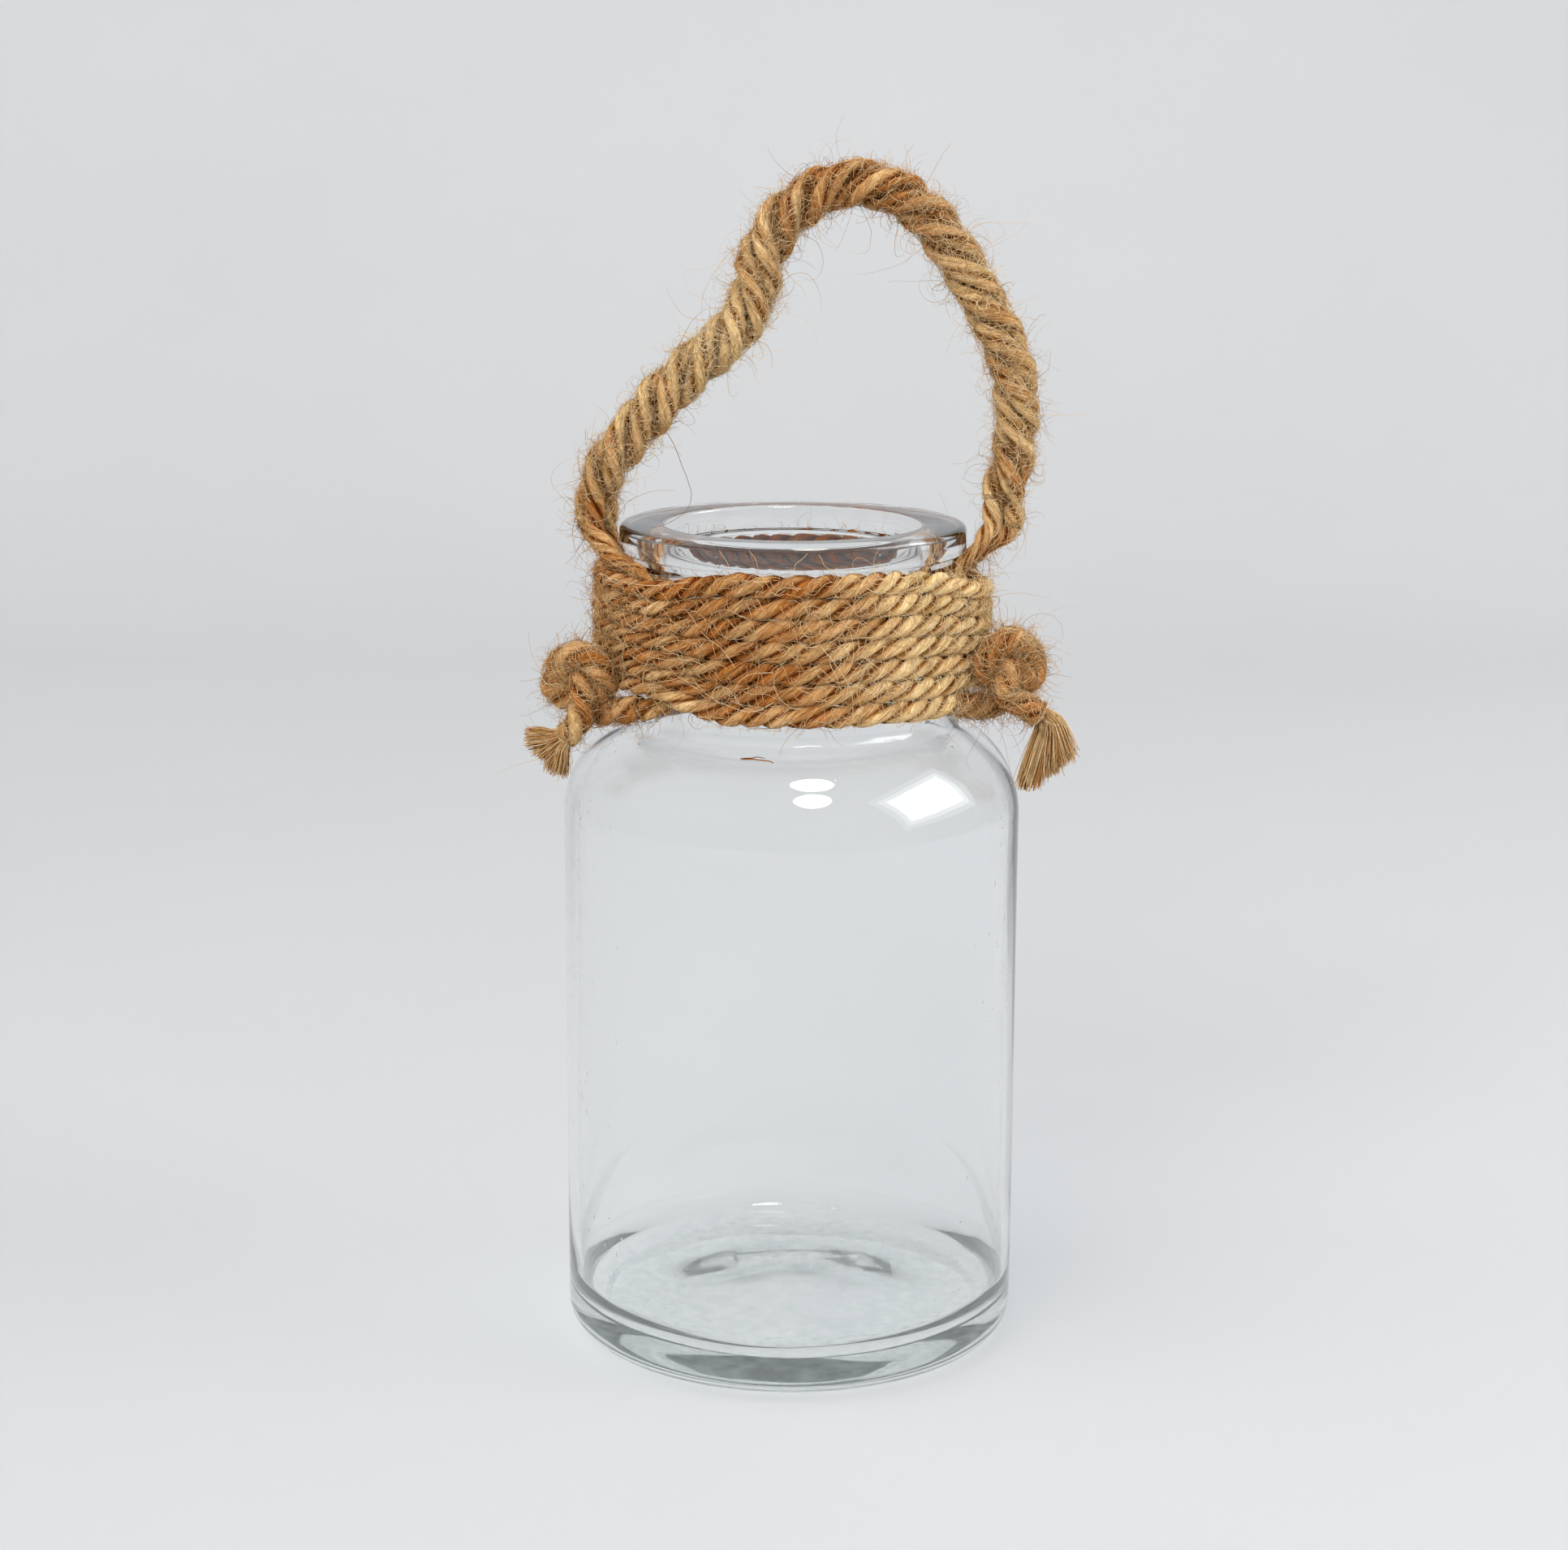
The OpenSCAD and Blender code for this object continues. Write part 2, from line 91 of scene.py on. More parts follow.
SHOULDER_CZ = NECK_BASE - math.sqrt(REACH ** 2 - (FILLET_CX - SHOULDER_CX) ** 2)
SHOULDER_END = math.degrees(math.acos((FILLET_CX - SHOULDER_CX) / REACH))
STRAND_D, SLACK_D, LAY_R, LOOSENESS, ROPE_D, KNOT_PITCH = 4.4, 4.7, 2.9, 0.3, 5.0, 5.5
BUNDLE_R = LAY_R + STRAND_D / 2
HINGE_Z = JAR_H + 1.5 + BUNDLE_R
LEFT_X = RIM_R + 0.4 + BUNDLE_R
RIGHT_X = LEFT_X + 3
TOP_Z = HINGE_Z - BUNDLE_R - 0.4 - 1.1
HANDLE_STEPS, HANDLE_TURN = 76, 2220     # steps along the handle, and its strands' lay in degrees
KNOT_GAP, KNOT_STEPS = 17.5, 92          # the part of a trefoil left open, in degrees

# The rope's plies. Their radius and offset are shares of the rope's half thickness.
STEP = 1.1                               # mm between rings
LAY_WOUND, LAY_HANDLE = 18.5, 24.0       # mm of rope to one turn of its plies
PLY_R, PLY_OUT, PLY_SLANT = 0.53, 0.50, 1.10
SIDES = 12
ROPE_HALF, FELT_R, WRAP_R = 2.4, 2.9, 43.6   # mm: the rope, its felt, and the winding's outside


# ---------------------------------------------------------------- paths
def unit(v):
    v = np.asarray(v, float)
    return v / np.maximum(np.linalg.norm(v, axis=-1, keepdims=True), 1e-12)


def polar(r, a, z):
    return np.array([r * math.cos(math.radians(a)), r * math.sin(math.radians(a)), z])


def smoothstep(t):
    c = min(1.0, max(0.0, t))
    return c * c * (3 - 2 * c)


def curve(points, n):
    """A Catmull-Rom curve through points, with n steps between each two."""
    p = [np.asarray(q, float) for q in points]
    m = len(p) - 1
    out = []
    for i in range(m):
        a, b, c, d = p[max(i - 1, 0)], p[i], p[i + 1], p[min(i + 2, m)]
        for k in range(n):
            t = k / n
            out.append(0.5 * (2 * b + (c - a) * t + (2 * a - 5 * b + 4 * c - d) * t * t
                              + (3 * b - a - 3 * c + d) * t ** 3))
    return np.array(out + [p[m]])


def lengths(p):
    return np.concatenate([[0], np.cumsum(np.linalg.norm(np.diff(p, axis=0), axis=1))])


def resample(p, s_new):
    s = lengths(p)
    return np.stack([np.interp(s_new, s, p[:, c]) for c in range(p.shape[1])], 1)


def evenly(p, n, share=1):
    """n points, evenly spaced along the first share of a path."""
    return resample(p, np.linspace(0, lengths(p)[-1] * share, n))


def near(a, middle, half):
    off = abs((a - middle + 540) % 360 - 180)
    return 1 - smoothstep((off - half) / TUCK_FADE)


def swelling(a):
    """How far the winding bulges at an angle, over the strands tucked under it, from 0 to 1."""
    return max(near(a, *RIGHT_TUCK), near(a, *LEFT_TUCK))


def row(a):
    b = a - WIND_FROM
    turn = math.floor(b / 360)
    return turn + smoothstep((b - 360 * turn - 360) / STEP_ARC + 1)


def squeeze(a):
    return ((DIP + RIGHT_RISE) * near(a, *RIGHT_TUCK) + (DIP + LEFT_RISE) * near(a, *LEFT_TUCK)) / 6


def wind_z(a):
    return WIND_TOP - (PITCH - squeeze(a)) * row(a) - DIP * swelling(a)


def wind_point(a):
    return polar(WIND_R + SWELL * swelling(a), a, wind_z(a))


HANDLE_ROUTE = [
    (-LEFT_X, 0), (-45, 5), (-41, 11), (-36, 17), (-29, 25), (-21.5, 32), (-14, 38.5), (-9.5, 46.5),
    (-7.5, 56), (-2.5, 64.5), (6, 70.8), (15, 72.8), (24.5, 70), (32.5, 63.5), (39, 54.5), (45, 44),
    (50.5, 33), (52.5, 21.5), (52.3, 11), (50.7, 4), (RIGHT_X, 0)]
handle_line = evenly(curve([(x, 0, HINGE_Z + z) for x, z in HANDLE_ROUTE], 8), HANDLE_STEPS + 1)


def away(i):
    """0 at the handle's ends, 1 along the rest of it."""
    return smoothstep(i / 10) * smoothstep((HANDLE_STEPS - i) / 10)


def strand_path(phase):
    """One pass of the handle: rows of x, y, z, thickness, width."""
    m = HANDLE_STEPS
    out = []
    for i in range(m + 1):
        t = unit(handle_line[min(i + 1, m)] - handle_line[max(i - 1, 0)])
        t = np.array([0, 0, 1.0]) if i == 0 else np.array([0, 0, -1.0]) if i == m else t
        a = math.radians(phase - HANDLE_TURN * i / m)
        y = np.array([0, 1.0, 0])
        r = LAY_R + (SLACK_D - STRAND_D) / 2 * away(i) + LOOSENESS * smoothstep(i / 10) * (
            1 - smoothstep((i - 32) / 14))
        out.append(handle_line[i] + r * (math.cos(a) * y + math.sin(a) * np.cross(t, y)))
    size = [STRAND_D + (SLACK_D - STRAND_D) * away(i / 2) for i in range(2 * m + 1)]
    return np.concatenate([curve(out, 2), np.stack([size, size], 1)], 1)


def root_top(x, dx, dy):
    return [math.hypot(x + dx, dy), math.degrees(math.atan2(dy, x + dx)), TOP_Z, STRAND_D, STRAND_D]


# The tucked lengths: rows of radius, angle, height, thickness, width.
C30, C60 = LAY_R * math.cos(math.radians(30)), LAY_R / 2
RB, RR, LX, NB = RIM_BOTTOM, RIM_R, LEFT_X, NECK_BASE
LEFT_BIGHT = [
    root_top(-LX, 0, -LAY_R), [LX - 0.2, 185.2, TOP_Z - 2.6, 4.4, 4.4],
    [LX - 1.4, 189, RB + 1.6, 4.2, 4.2], [RR + 2.2, 195, RB - 1, 4.2, 3],
    [RR + 0.7, 202, RB - 1.55, 4.2, 2.3], [TUCK_R + 0.8, 209.5, RB - 2.4, 3, 2.6],
    [TUCK_R, 213.5, RB - 5.5, SQUEEZED, 4], [TUCK_R, 213.5, RB - 9.5, SQUEEZED, 4.6],
    [TUCK_R, 206, RB - 12.5, SQUEEZED, 4.6], [TUCK_R, 196, RB - 13, SQUEEZED, 4.6],
    [TUCK_R, 186, RB - 12, SQUEEZED, 4.6], [TUCK_R, 181.5, RB - 8, SQUEEZED, 5.2],
    [TUCK_R + 0.1, 181, RB - 4.2, 2.4, 5.2], [RR + 2.6, 180.8, RB - 0.6, 2.8, 4.8],
    [LX + 1.2, 179.4, TOP_Z - 2.6, 4.2, 4.4], root_top(-LX, -C30, C60)]
RIGHT_BIGHT = [
    root_top(RIGHT_X, -C30, -C60), [RR + 4.6, -4, TOP_Z - 2.5, 4, 4.4],
    [RR + 1.4, -7.4, RB - 1, 2.1, 5.4], [TUCK_R + 0.1, -9, RB - 4.2, 2.4, 5.2],
    [TUCK_R, -9.4, RB - 8, SQUEEZED, 5.2], [TUCK_R, -8.2, RB - 11.5, SQUEEZED, 4.6],
    [TUCK_R, -5.2, RB - 12.9, SQUEEZED, 4.4], [TUCK_R, -2.2, RB - 11.5, SQUEEZED, 4.6],
    [TUCK_R, -1, RB - 8, SQUEEZED, 5.2], [TUCK_R + 0.1, -1, RB - 4.4, 2.4, 5.2],
    [RR + 1.6, -0.9, RB - 1.3, 2.2, 5.2], [RR + 5.2, -1.1, RB + 1.4, 3.4, 4.6],
    [RIGHT_X + 1.4, -1.4, TOP_Z - 2.2, 4.2, 4.4], root_top(RIGHT_X, C30, -C60)]
LEFT_ROOT = [
    root_top(-LX, C30, C60), [RR + 3.1, 176.4, TOP_Z - 2.5, 4, 4.4],
    [RR + 1.4, 174.5, RB - 0.8, 2.4, 5], [TUCK_R + 0.2, 173, RB - 4, 2.4, 5.2],
    [TUCK_R, 172.6, RB - 10, SQUEEZED, 5.2], [TUCK_R, 176, NB + 20.8, SQUEEZED, 5.2],
    [TUCK_R, 190, NB + 14.8, SQUEEZED, 5.2], [TUCK_R, 208, NB + 12.3, SQUEEZED, 5.2],
    [TUCK_R, 221, NB + 10.5, SQUEEZED, 5], [TUCK_R + 0.2, 226.5, NB + 7.8, 2.4, 4.4],
    [TUCK_R + 1.6, 225, NB + 5.3, 2.8, 4.4], [TUCK_R + 4, 220, NB + 4.6, 4.4, 4.4]]
RIGHT_LEAD = [
    root_top(RIGHT_X, 0, LAY_R), [RIGHT_X - 1.2, 5.4, TOP_Z - 2.6, 4.2, 4.4],
    [RR + 4.6, 9.5, RB - 0.4, 4.4, 4.4],
    [WIND_R + SWELL + 0.4, 15.5, wind_z(WIND_FROM) + 1, 4.4, 4.4],
    [WIND_R + SWELL * swelling(18.5), 18.5, wind_z(WIND_FROM) + 0.4, 4.4, 4.4],
    [WIND_R + SWELL * swelling(21.3), 21.3, wind_z(WIND_FROM) + 0.1, 4.4, 4.4]]


def trefoil(centre, face, turn, way):
    """An overhand knot that faces one way round the jar, as a trefoil with a gap for its ends."""
    f = math.radians(face)
    across, out = np.array([-math.sin(f), math.cos(f), 0]), np.array([math.cos(f), math.sin(f), 0])
    got = []
    for i in range(KNOT_STEPS + 1):
        t = math.radians(way * (KNOT_GAP + (360 - 2 * KNOT_GAP) * i / KNOT_STEPS))
        r, a = KNOT_PITCH * (1 + math.cos(3 * t) / 2), 2 * t + math.radians(turn)
        got.append(centre + r * math.cos(a) * across + r * math.sin(a) * np.array([0, 0, 1])
                   - way * KNOT_PITCH / 2 * math.sin(3 * t) * out)
    return np.array(got)


LEFT_C = polar(WIND_R + SWELL + 10, 204, NB + 9.6)
RIGHT_C = polar(WIND_R + SWELL + 8.8, -16.5, NB + 12.3)
left_knot_path = np.concatenate([
    curve([polar(TUCK_R + 4.6, 219.2, NB + 4.5), polar(TUCK_R + 7.3, 213.6, NB + 3.6),
           polar(TUCK_R + 10.2, 207, NB + 2.4), polar(TUCK_R + 12.5, 202.5, NB + 2.3)], 4),
    trefoil(LEFT_C, 222, 278, -1),
    curve([LEFT_C + (0.4, -4.6, -8), LEFT_C + (-1, -4.4, -10.6), LEFT_C + (-2.8, -3.6, -12.2)], 3)])
right_knot_path = np.concatenate([
    curve([wind_point(WIND_TO + 0.6) + (0, 0, -0.1),
           polar(WIND_R + SWELL + 1.4, 336.5, wind_z(WIND_TO) - 1.4),
           polar(WIND_R + SWELL + 4.8, 342, wind_z(WIND_TO) - 2),
           polar(WIND_R + SWELL + 6.8, 345.8, wind_z(WIND_TO) - 0.9)], 4),
    trefoil(RIGHT_C, -40, 262, 1),
    curve([RIGHT_C + (2.2, -5, -7.8), RIGHT_C + (5, -5, -9), RIGHT_C + (7.2, -4.6, -10.6)], 3)])


# ---------------------------------------------------------------- the whole rope, end to end
def round_part(path, d):
    return np.concatenate([path, np.full((len(path), 2), d)], 1)


def pressed_part(rows):
    path = curve([polar(*q[:3]) for q in rows], 6)
    return np.concatenate([path, curve([q[3:] for q in rows], 6)], 1)


wind_angles = [*np.arange(WIND_FROM, WIND_TO, 3), WIND_TO]
winding = np.array([[*wind_point(a), WOUND_D + squeeze(a) / 2, WOUND_D - squeeze(a)]
                    for a in wind_angles])
PARTS = {
    "left_knot": round_part(left_knot_path[::-1], ROPE_D),
    "left_root": pressed_part(LEFT_ROOT)[::-1],
    "handle_strand_1": strand_path(300),
    "right_bight": pressed_part(RIGHT_BIGHT),
    "handle_strand_2": strand_path(180)[::-1],
    "left_bight": pressed_part(LEFT_BIGHT),
    "handle_strand_3": strand_path(60),
    "right_lead": pressed_part(RIGHT_LEAD),
    "neck_winding": winding,
    "right_knot": round_part(right_knot_path, ROPE_D)}
PART_NAMES = list(PARTS)

raw, cuts = [], [0.0]
for rows in PARTS.values():
    if raw and np.linalg.norm(raw[-1][-1, :3] - rows[0, :3]) <= 0.4:
        rows = rows[1:]
    raw.append(rows)
rope = np.concatenate(raw)
apart = np.concatenate([[True], np.linalg.norm(np.diff(rope[:, :3], axis=0), axis=1) > 0.05])
s_raw = lengths(rope[:, :3])
at = 0
for rows in raw:
    at += len(rows)
    cuts.append(s_raw[min(at, len(s_raw)) - 1])
rope_s = s_raw[apart]

# S is each ring's distance along the rope, P its centre, HALF its half thickness and half width,
# and T, N and B its frame. U points away from the jar's axis, and V lies across U and T.
S = np.arange(0, rope_s[-1], STEP)
R = np.stack([np.interp(S, rope_s, rope[apart][:, c]) for c in range(5)], 1)
P, HALF = R[:, :3], R[:, 3:] / 2
for _ in range(2):                      # soften the joins of the parts
    P = np.concatenate([P[:1], (P[:-2] + 2 * P[1:-1] + P[2:]) / 4, P[-1:]])
T = unit(np.gradient(P, axis=0))
N = np.zeros_like(T)
N[0] = unit(np.array([0, 1.0, 0]) - T[0, 1] * T[0])
for i in range(1, len(T)):
    N[i] = unit(N[i - 1] - (N[i - 1] @ T[i]) * T[i])
B = np.cross(T, N)
RADIAL = unit(P * (1, 1, 0))
U = unit(RADIAL - np.sum(RADIAL * T, 1, keepdims=True) * T)
V = np.cross(T, U)


def wobble(every, rows_out, seed):
    """Smooth random numbers from -1 to 1 along the rope, with a knot at every so many mm."""
    r = np.random.default_rng(seed)
    knots = np.arange(0, S[-1] + 2 * every, every)
    return np.stack([np.interp(S, knots, r.uniform(-1, 1, len(knots))) for _ in range(rows_out)])


def in_parts(*names):
    return np.isin(PART, [PART_NAMES.index(name) for name in names])


PART = np.searchsorted(np.array(cuts[1:-1]), S, side="right")     # the part each ring lies in
ON_HANDLE = in_parts("handle_strand_1", "handle_strand_2", "handle_strand_3")
WOUND = in_parts("neck_winding")
KNOTTED = in_parts("left_knot", "right_knot")
P = P + 0.16 * wobble(11, 3, 7).T * (~ON_HANDLE)[:, None] * (PART != 0)[:, None]
THICK = 1 + 0.13 * wobble(6, 3, 1) + 0.10 * wobble(2.4, 3, 2)
OUT = PLY_OUT * (1 + 0.10 * wobble(7, 3, 3))
LAY = np.where(ON_HANDLE, LAY_HANDLE, LAY_WOUND)
PHASE = (-2 * np.pi * np.cumsum(STEP / LAY) + 0.9 * wobble(22, 1, 4)[0]
         + 0.32 * wobble(7, 1, 8)[0])
FAT = np.where(WOUND, 1.14, np.where(ON_HANDLE, 1.08, np.where(KNOTTED, 1.20, 1.08)))


def warmth():
    """How dark and orange each ply is at each ring, from about -1, pale straw, to 1; on the winding
    this holds some painted light from the window side.
    """
    angle = np.degrees(np.arctan2(P[:, 1], P[:, 0])) % 360
    w = 0.55 * wobble(9, 3, 5) + 0.36 * wobble(34, 3, 6) + 0.22 * wobble(4, 3, 9)
    w *= np.where(ON_HANDLE | KNOTTED, 1.4, 1.0)
    base = {"left_bight": 0.65, "left_root": 0.55, "left_knot": 0.60, "right_knot": 0.35,
            "right_lead": 0.25, "right_bight": 0.25}
    step = sum(base.get(name, 0) * (PART == k) for k, name in enumerate(PART_NAMES))
    window = np.hanning(19)
    w += np.convolve(np.pad(step, 9, mode="edge"), window / window.sum(), mode="valid")
    # The winding is painted paler on the side towards the window lamp: partly paler fuzz, partly
    # painted light.
    right = np.exp(-(((angle - 325 + 180) % 360 - 180) / 38) ** 2)
    w += WOUND * (0.64 - 1.95 * right)
    up_left = np.exp(-((P[:, 0] + 17) ** 2 + (P[:, 2] - HINGE_Z - 37) ** 2) / 260)
    top = np.exp(-((P[:, 0] - 18) ** 2 + (P[:, 2] - HINGE_Z - 71) ** 2) / 620)
    w += ON_HANDLE * (-0.26 - 1.0 * up_left + 1.15 * top)
    low_row = np.abs(P[:, 2] - (WIND_TOP - 4.5 * PITCH)) < 2.6
    w[1] += 0.9 * np.exp(-((angle - 248) / 10) ** 2) * low_row * WOUND     # a red-brown patch
    return w


WARM = warmth()


# ---------------------------------------------------------------- mesh helpers
def mesh_object(name, verts, faces, attrs=()):
    me = bpy.data.meshes.new(name)
    me.from_pydata(np.asarray(verts, float).tolist(), [], [list(map(int, f)) for f in faces])
    me.polygons.foreach_set("use_smooth", [True] * len(me.polygons))
    for key, kind, values in attrs:
        a = me.attributes.new(key, kind, "POINT")
        a.data.foreach_set("vector" if kind == "FLOAT_VECTOR" else "value",
                           np.asarray(values, np.float32).ravel())
    me.update()
    ob = bpy.data.objects.new(name, me)
    bpy.context.scene.collection.objects.link(ob)
    return ob


def tube_faces(rings, sides, first):
    """Quads round a tube of rings whose corners start at number first, and its two caps."""
    i, j = np.meshgrid(np.arange(rings - 1), np.arange(sides), indexing="ij")
    a, b = first + i * sides + j, first + i * sides + (j + 1) % sides
    quads = np.stack([a, b, b + sides, a + sides], -1).reshape(-1, 4).tolist()
    quads.append([first + k for k in range(sides)][::-1])
    quads.append([first + (rings - 1) * sides + k for k in range(sides)])
    return quads


def openness(points):
    """1 outside the handle's bundle and away from it, less in the hollows between its strands,
    which the materials darken with painted shade.
    """
    flat = points.reshape(-1, 3)
    if flat[:, 2].max() < HINGE_Z + 2:
        return np.ones(points.shape[:-1])
    least = np.full(len(flat), 1e9)
    for a, b in zip(handle_line[:-1], handle_line[1:]):
        t = np.clip((flat - a) @ (b - a) / np.sum((b - a) ** 2), 0, 1)
        least = np.minimum(least, np.sum((flat - a - t[:, None] * (b - a)) ** 2, 1))
    return (1 - 0.34 * np.clip((4.15 - np.sqrt(least)) / 1.7, 0, 1)).reshape(points.shape[:-1])


def crevice(part, off, out):
    """Less than 1 in the gaps between the winding's turns, and 1 on their outside; it paints shade
    into those gaps.
    """
    if part != "neck_winding":
        return 1.0
    return np.clip(0.70 + 0.75 * np.sum(unit(off) * out, -1), 0.70, 1)


def plies(part, i0, i1):
    """The three plies of the rope between two rings, with what their material reads."""
    verts, faces, fibre, depth, heat = [], [], [], [], []
    idx = np.arange(i0, i1)
    s = S[idx]
    j = np.arange(SIDES)
    u, v = U[idx][:, None], V[idx][:, None]
    for k in range(3):
        phi = PHASE[idx] + 2 * np.pi * k / 3
        alpha = phi[:, None] + 2 * np.pi * j[None] / SIDES
        r = PLY_R * THICK[k, idx][:, None]
        ex, ey = np.cos(phi)[:, None], np.sin(phi)[:, None]
        ca, sa = np.cos(alpha - phi[:, None]), np.sin(alpha - phi[:, None]) * PLY_SLANT
        x = OUT[k, idx][:, None] * ex + r * (ca * ex - sa * ey)
        y = OUT[k, idx][:, None] * ey + r * (ca * ey + sa * ex)
        w = x[..., None] * N[idx][:, None] + y[..., None] * B[idx][:, None]
        along_u = np.sum(w * u, -1) * HALF[idx, 0][:, None]
        along_v = np.sum(w * v, -1) * HALF[idx, 1][:, None]
        off = FAT[idx][:, None, None] * (along_u[..., None] * u + along_v[..., None] * v)
        pts = P[idx][:, None] + off
        faces += tube_faces(len(idx), SIDES, len(verts) * len(idx) * SIDES)
        verts.append(pts.reshape(-1, 3))
        psi = 2 * np.pi * j[None] / SIDES + 0.30 * s[:, None] + k * 2.1
        fibre.append(np.stack([np.broadcast_to(s[:, None] + 400 * k, psi.shape),
                               1.2 * np.cos(psi), 1.2 * np.sin(psi)], -1).reshape(-1, 3))
        # depth is low on the plies' inner sides, in the handle's hollows and in the winding's gaps;
        # the materials paint shade there
        depth.append((np.hypot(x, y) * openness(pts) * crevice(part, off, u)).reshape(-1))
        heat.append(np.broadcast_to(WARM[k, idx][:, None], psi.shape).reshape(-1))
    return mesh_object(part + "_rope", np.concatenate(verts) * MM, faces, [
        ("fibre", "FLOAT_VECTOR", np.concatenate(fibre)), ("depth", "FLOAT", np.concatenate(depth)),
        ("warm", "FLOAT", np.concatenate(heat))])


# ---------------------------------------------------------------- glass profile
PUSH_STEPS = 8


def arc(cx, cz, r, a0, a1, n):
    a = np.radians(np.linspace(a0, a1, n + 1))
    return [(cx + r * math.cos(t), cz + r * math.sin(t)) for t in a]


def outer_profile():
    """The outside, from the middle of the push-up to the top of the rim."""
    return ([(PUSH_R * i / PUSH_STEPS, PUSH_H * (1 - (i / PUSH_STEPS) ** 2))
             for i in range(PUSH_STEPS + 1)]
            + arc(BODY_R - HEEL_R, HEEL_R, HEEL_R, -90, 0, 12)
            + [(BODY_R, z) for z in np.linspace(HEEL_R, SHOULDER_CZ, 14)[1:-1]]
            + arc(SHOULDER_CX, SHOULDER_CZ, SHOULDER_R, 0, SHOULDER_END, 22)
            + arc(FILLET_CX, NECK_BASE, FILLET, 180 + SHOULDER_END, 180, 7)[1:]
            + [(NECK_R, z) for z in np.linspace(NECK_BASE, RIM_BOTTOM - 1, 6)[1:-1]]
            + [(NECK_R, RIM_BOTTOM - 1), (NECK_R + 0.4, RIM_BOTTOM - 0.3), (NECK_R + 1, RIM_BOTTOM)]
            + arc(RIM_R - 1, RIM_BOTTOM + 1, 1, -90, 0, 5)
            + arc(RIM_R - 1.6, JAR_H - 1.6, 1.6, 0, 90, 7))


def inner_profile():
    """The inside, from the top of the rim to the floor, without the floor's middle."""
    floor, neck = PUSH_H + FLOOR_T, NECK_R - NECK_WALL
    heel, below_mouth = HEEL_R + 1, JAR_H - MOUTH_L - 5
    return (arc(MOUTH_R + 1, JAR_H - 1, 1, 90, 180, 6) + [(MOUTH_R, JAR_H - 4.5)]
            + [(MOUTH_R, JAR_H - MOUTH_L), (MOUTH_R + 2, JAR_H - MOUTH_L - 2.4),
               (neck, below_mouth)]
            + [(neck, z) for z in np.linspace(below_mouth, NECK_BASE + 4, 7)[1:]]
            + arc(FILLET_CX, NECK_BASE, FILLET + WALL, 180, 180 + SHOULDER_END, 9)
            + arc(SHOULDER_CX, SHOULDER_CZ, SHOULDER_R - WALL, SHOULDER_END, 0, 18)[1:]
            + [(BODY_R - WALL, z) for z in np.linspace(SHOULDER_CZ, floor + heel, 14)[1:-1]]
            + arc(BODY_R - WALL - heel, floor + heel, heel, 0, -90, 12)
            + [((BODY_R - WALL - heel) * (1 - i / 12), floor) for i in range(1, 12)])


OUTER = outer_profile()
OUT_R, OUT_Z = np.array(sorted(OUTER[PUSH_STEPS + 1:], key=lambda rz: rz[1])).T


def glass_radius(z):
    """The jar's outside radius at a height."""
    return np.interp(z, OUT_Z, OUT_R, right=0)


# ---------------------------------------------------------------- materials
def material(name):
    m = bpy.data.materials.new(name)
    m.use_nodes = True
    nt = m.node_tree
    nt.nodes.clear()
    return m, nt, nt.nodes.new("ShaderNodeOutputMaterial")


def node(nt, kind, **values):
    """A node. Each value is put in the input of that name, with spaces for _, or linked to it."""
    n = nt.nodes.new(kind)
    for key, value in values.items():
        socket = n.inputs[key.replace("_", " ")]
        if isinstance(value, bpy.types.NodeSocket):
            nt.links.new(value, socket)
        else:
            socket.default_value = value
    return n


def ramp(nt, stops, source):
    n = node(nt, "ShaderNodeValToRGB", Fac=source)
    while len(n.color_ramp.elements) < len(stops):
        n.color_ramp.elements.new(0.5)
    for e, (pos, colour) in zip(n.color_ramp.elements, stops):
        e.position = pos
        e.color = (*colour, 1)
    return n.outputs["Color"]


def greys(nt, low, high, source):
    """A ramp from one grey to another; low and high are each a position and a value."""
    return ramp(nt, [(pos, (value,) * 3) for pos, value in (low, high)], source)


def scaled(nt, source, scale):
    return node(nt, "ShaderNodeMapping", Scale=scale, Vector=source).outputs["Vector"]


def noise(nt, vector, scale, detail=3.0, rough=0.6):
    n = node(nt, "ShaderNodeTexNoise", Scale=scale, Detail=detail, Roughness=rough, Vector=vector)
    return n.outputs["Fac"]


def maths(nt, op, *values, clamp=False):
    n = nt.nodes.new("ShaderNodeMath")
    n.operation = op
    n.use_clamp = clamp
    for socket, value in zip(n.inputs, values):
        if isinstance(value, (int, float)):
            socket.default_value = value
        else:
            nt.links.new(value, socket)
    return n.outputs[0]


def mix(nt, fac, a, b, blend="MIX"):
    n = nt.nodes.new("ShaderNodeMix")
    n.data_type = "RGBA"
    n.blend_type = blend
    for i, value in ((0, fac), (6, a), (7, b)):
        if isinstance(value, (int, float)):
            n.inputs[i].default_value = value
        elif isinstance(value, tuple):
            n.inputs[i].default_value = (*value, 1)
        else:
            nt.links.new(value, n.inputs[i])
    return n.outputs[2]


def mix_shader(nt, fac, a, b):
    n = node(nt, "ShaderNodeMixShader", Fac=fac)
    nt.links.new(a, n.inputs[1])
    nt.links.new(b, n.inputs[2])
    return n.outputs[0]


def attribute(nt, name, out="Fac"):
    n = nt.nodes.new("ShaderNodeAttribute")
    n.attribute_name = name
    return n.outputs[out]


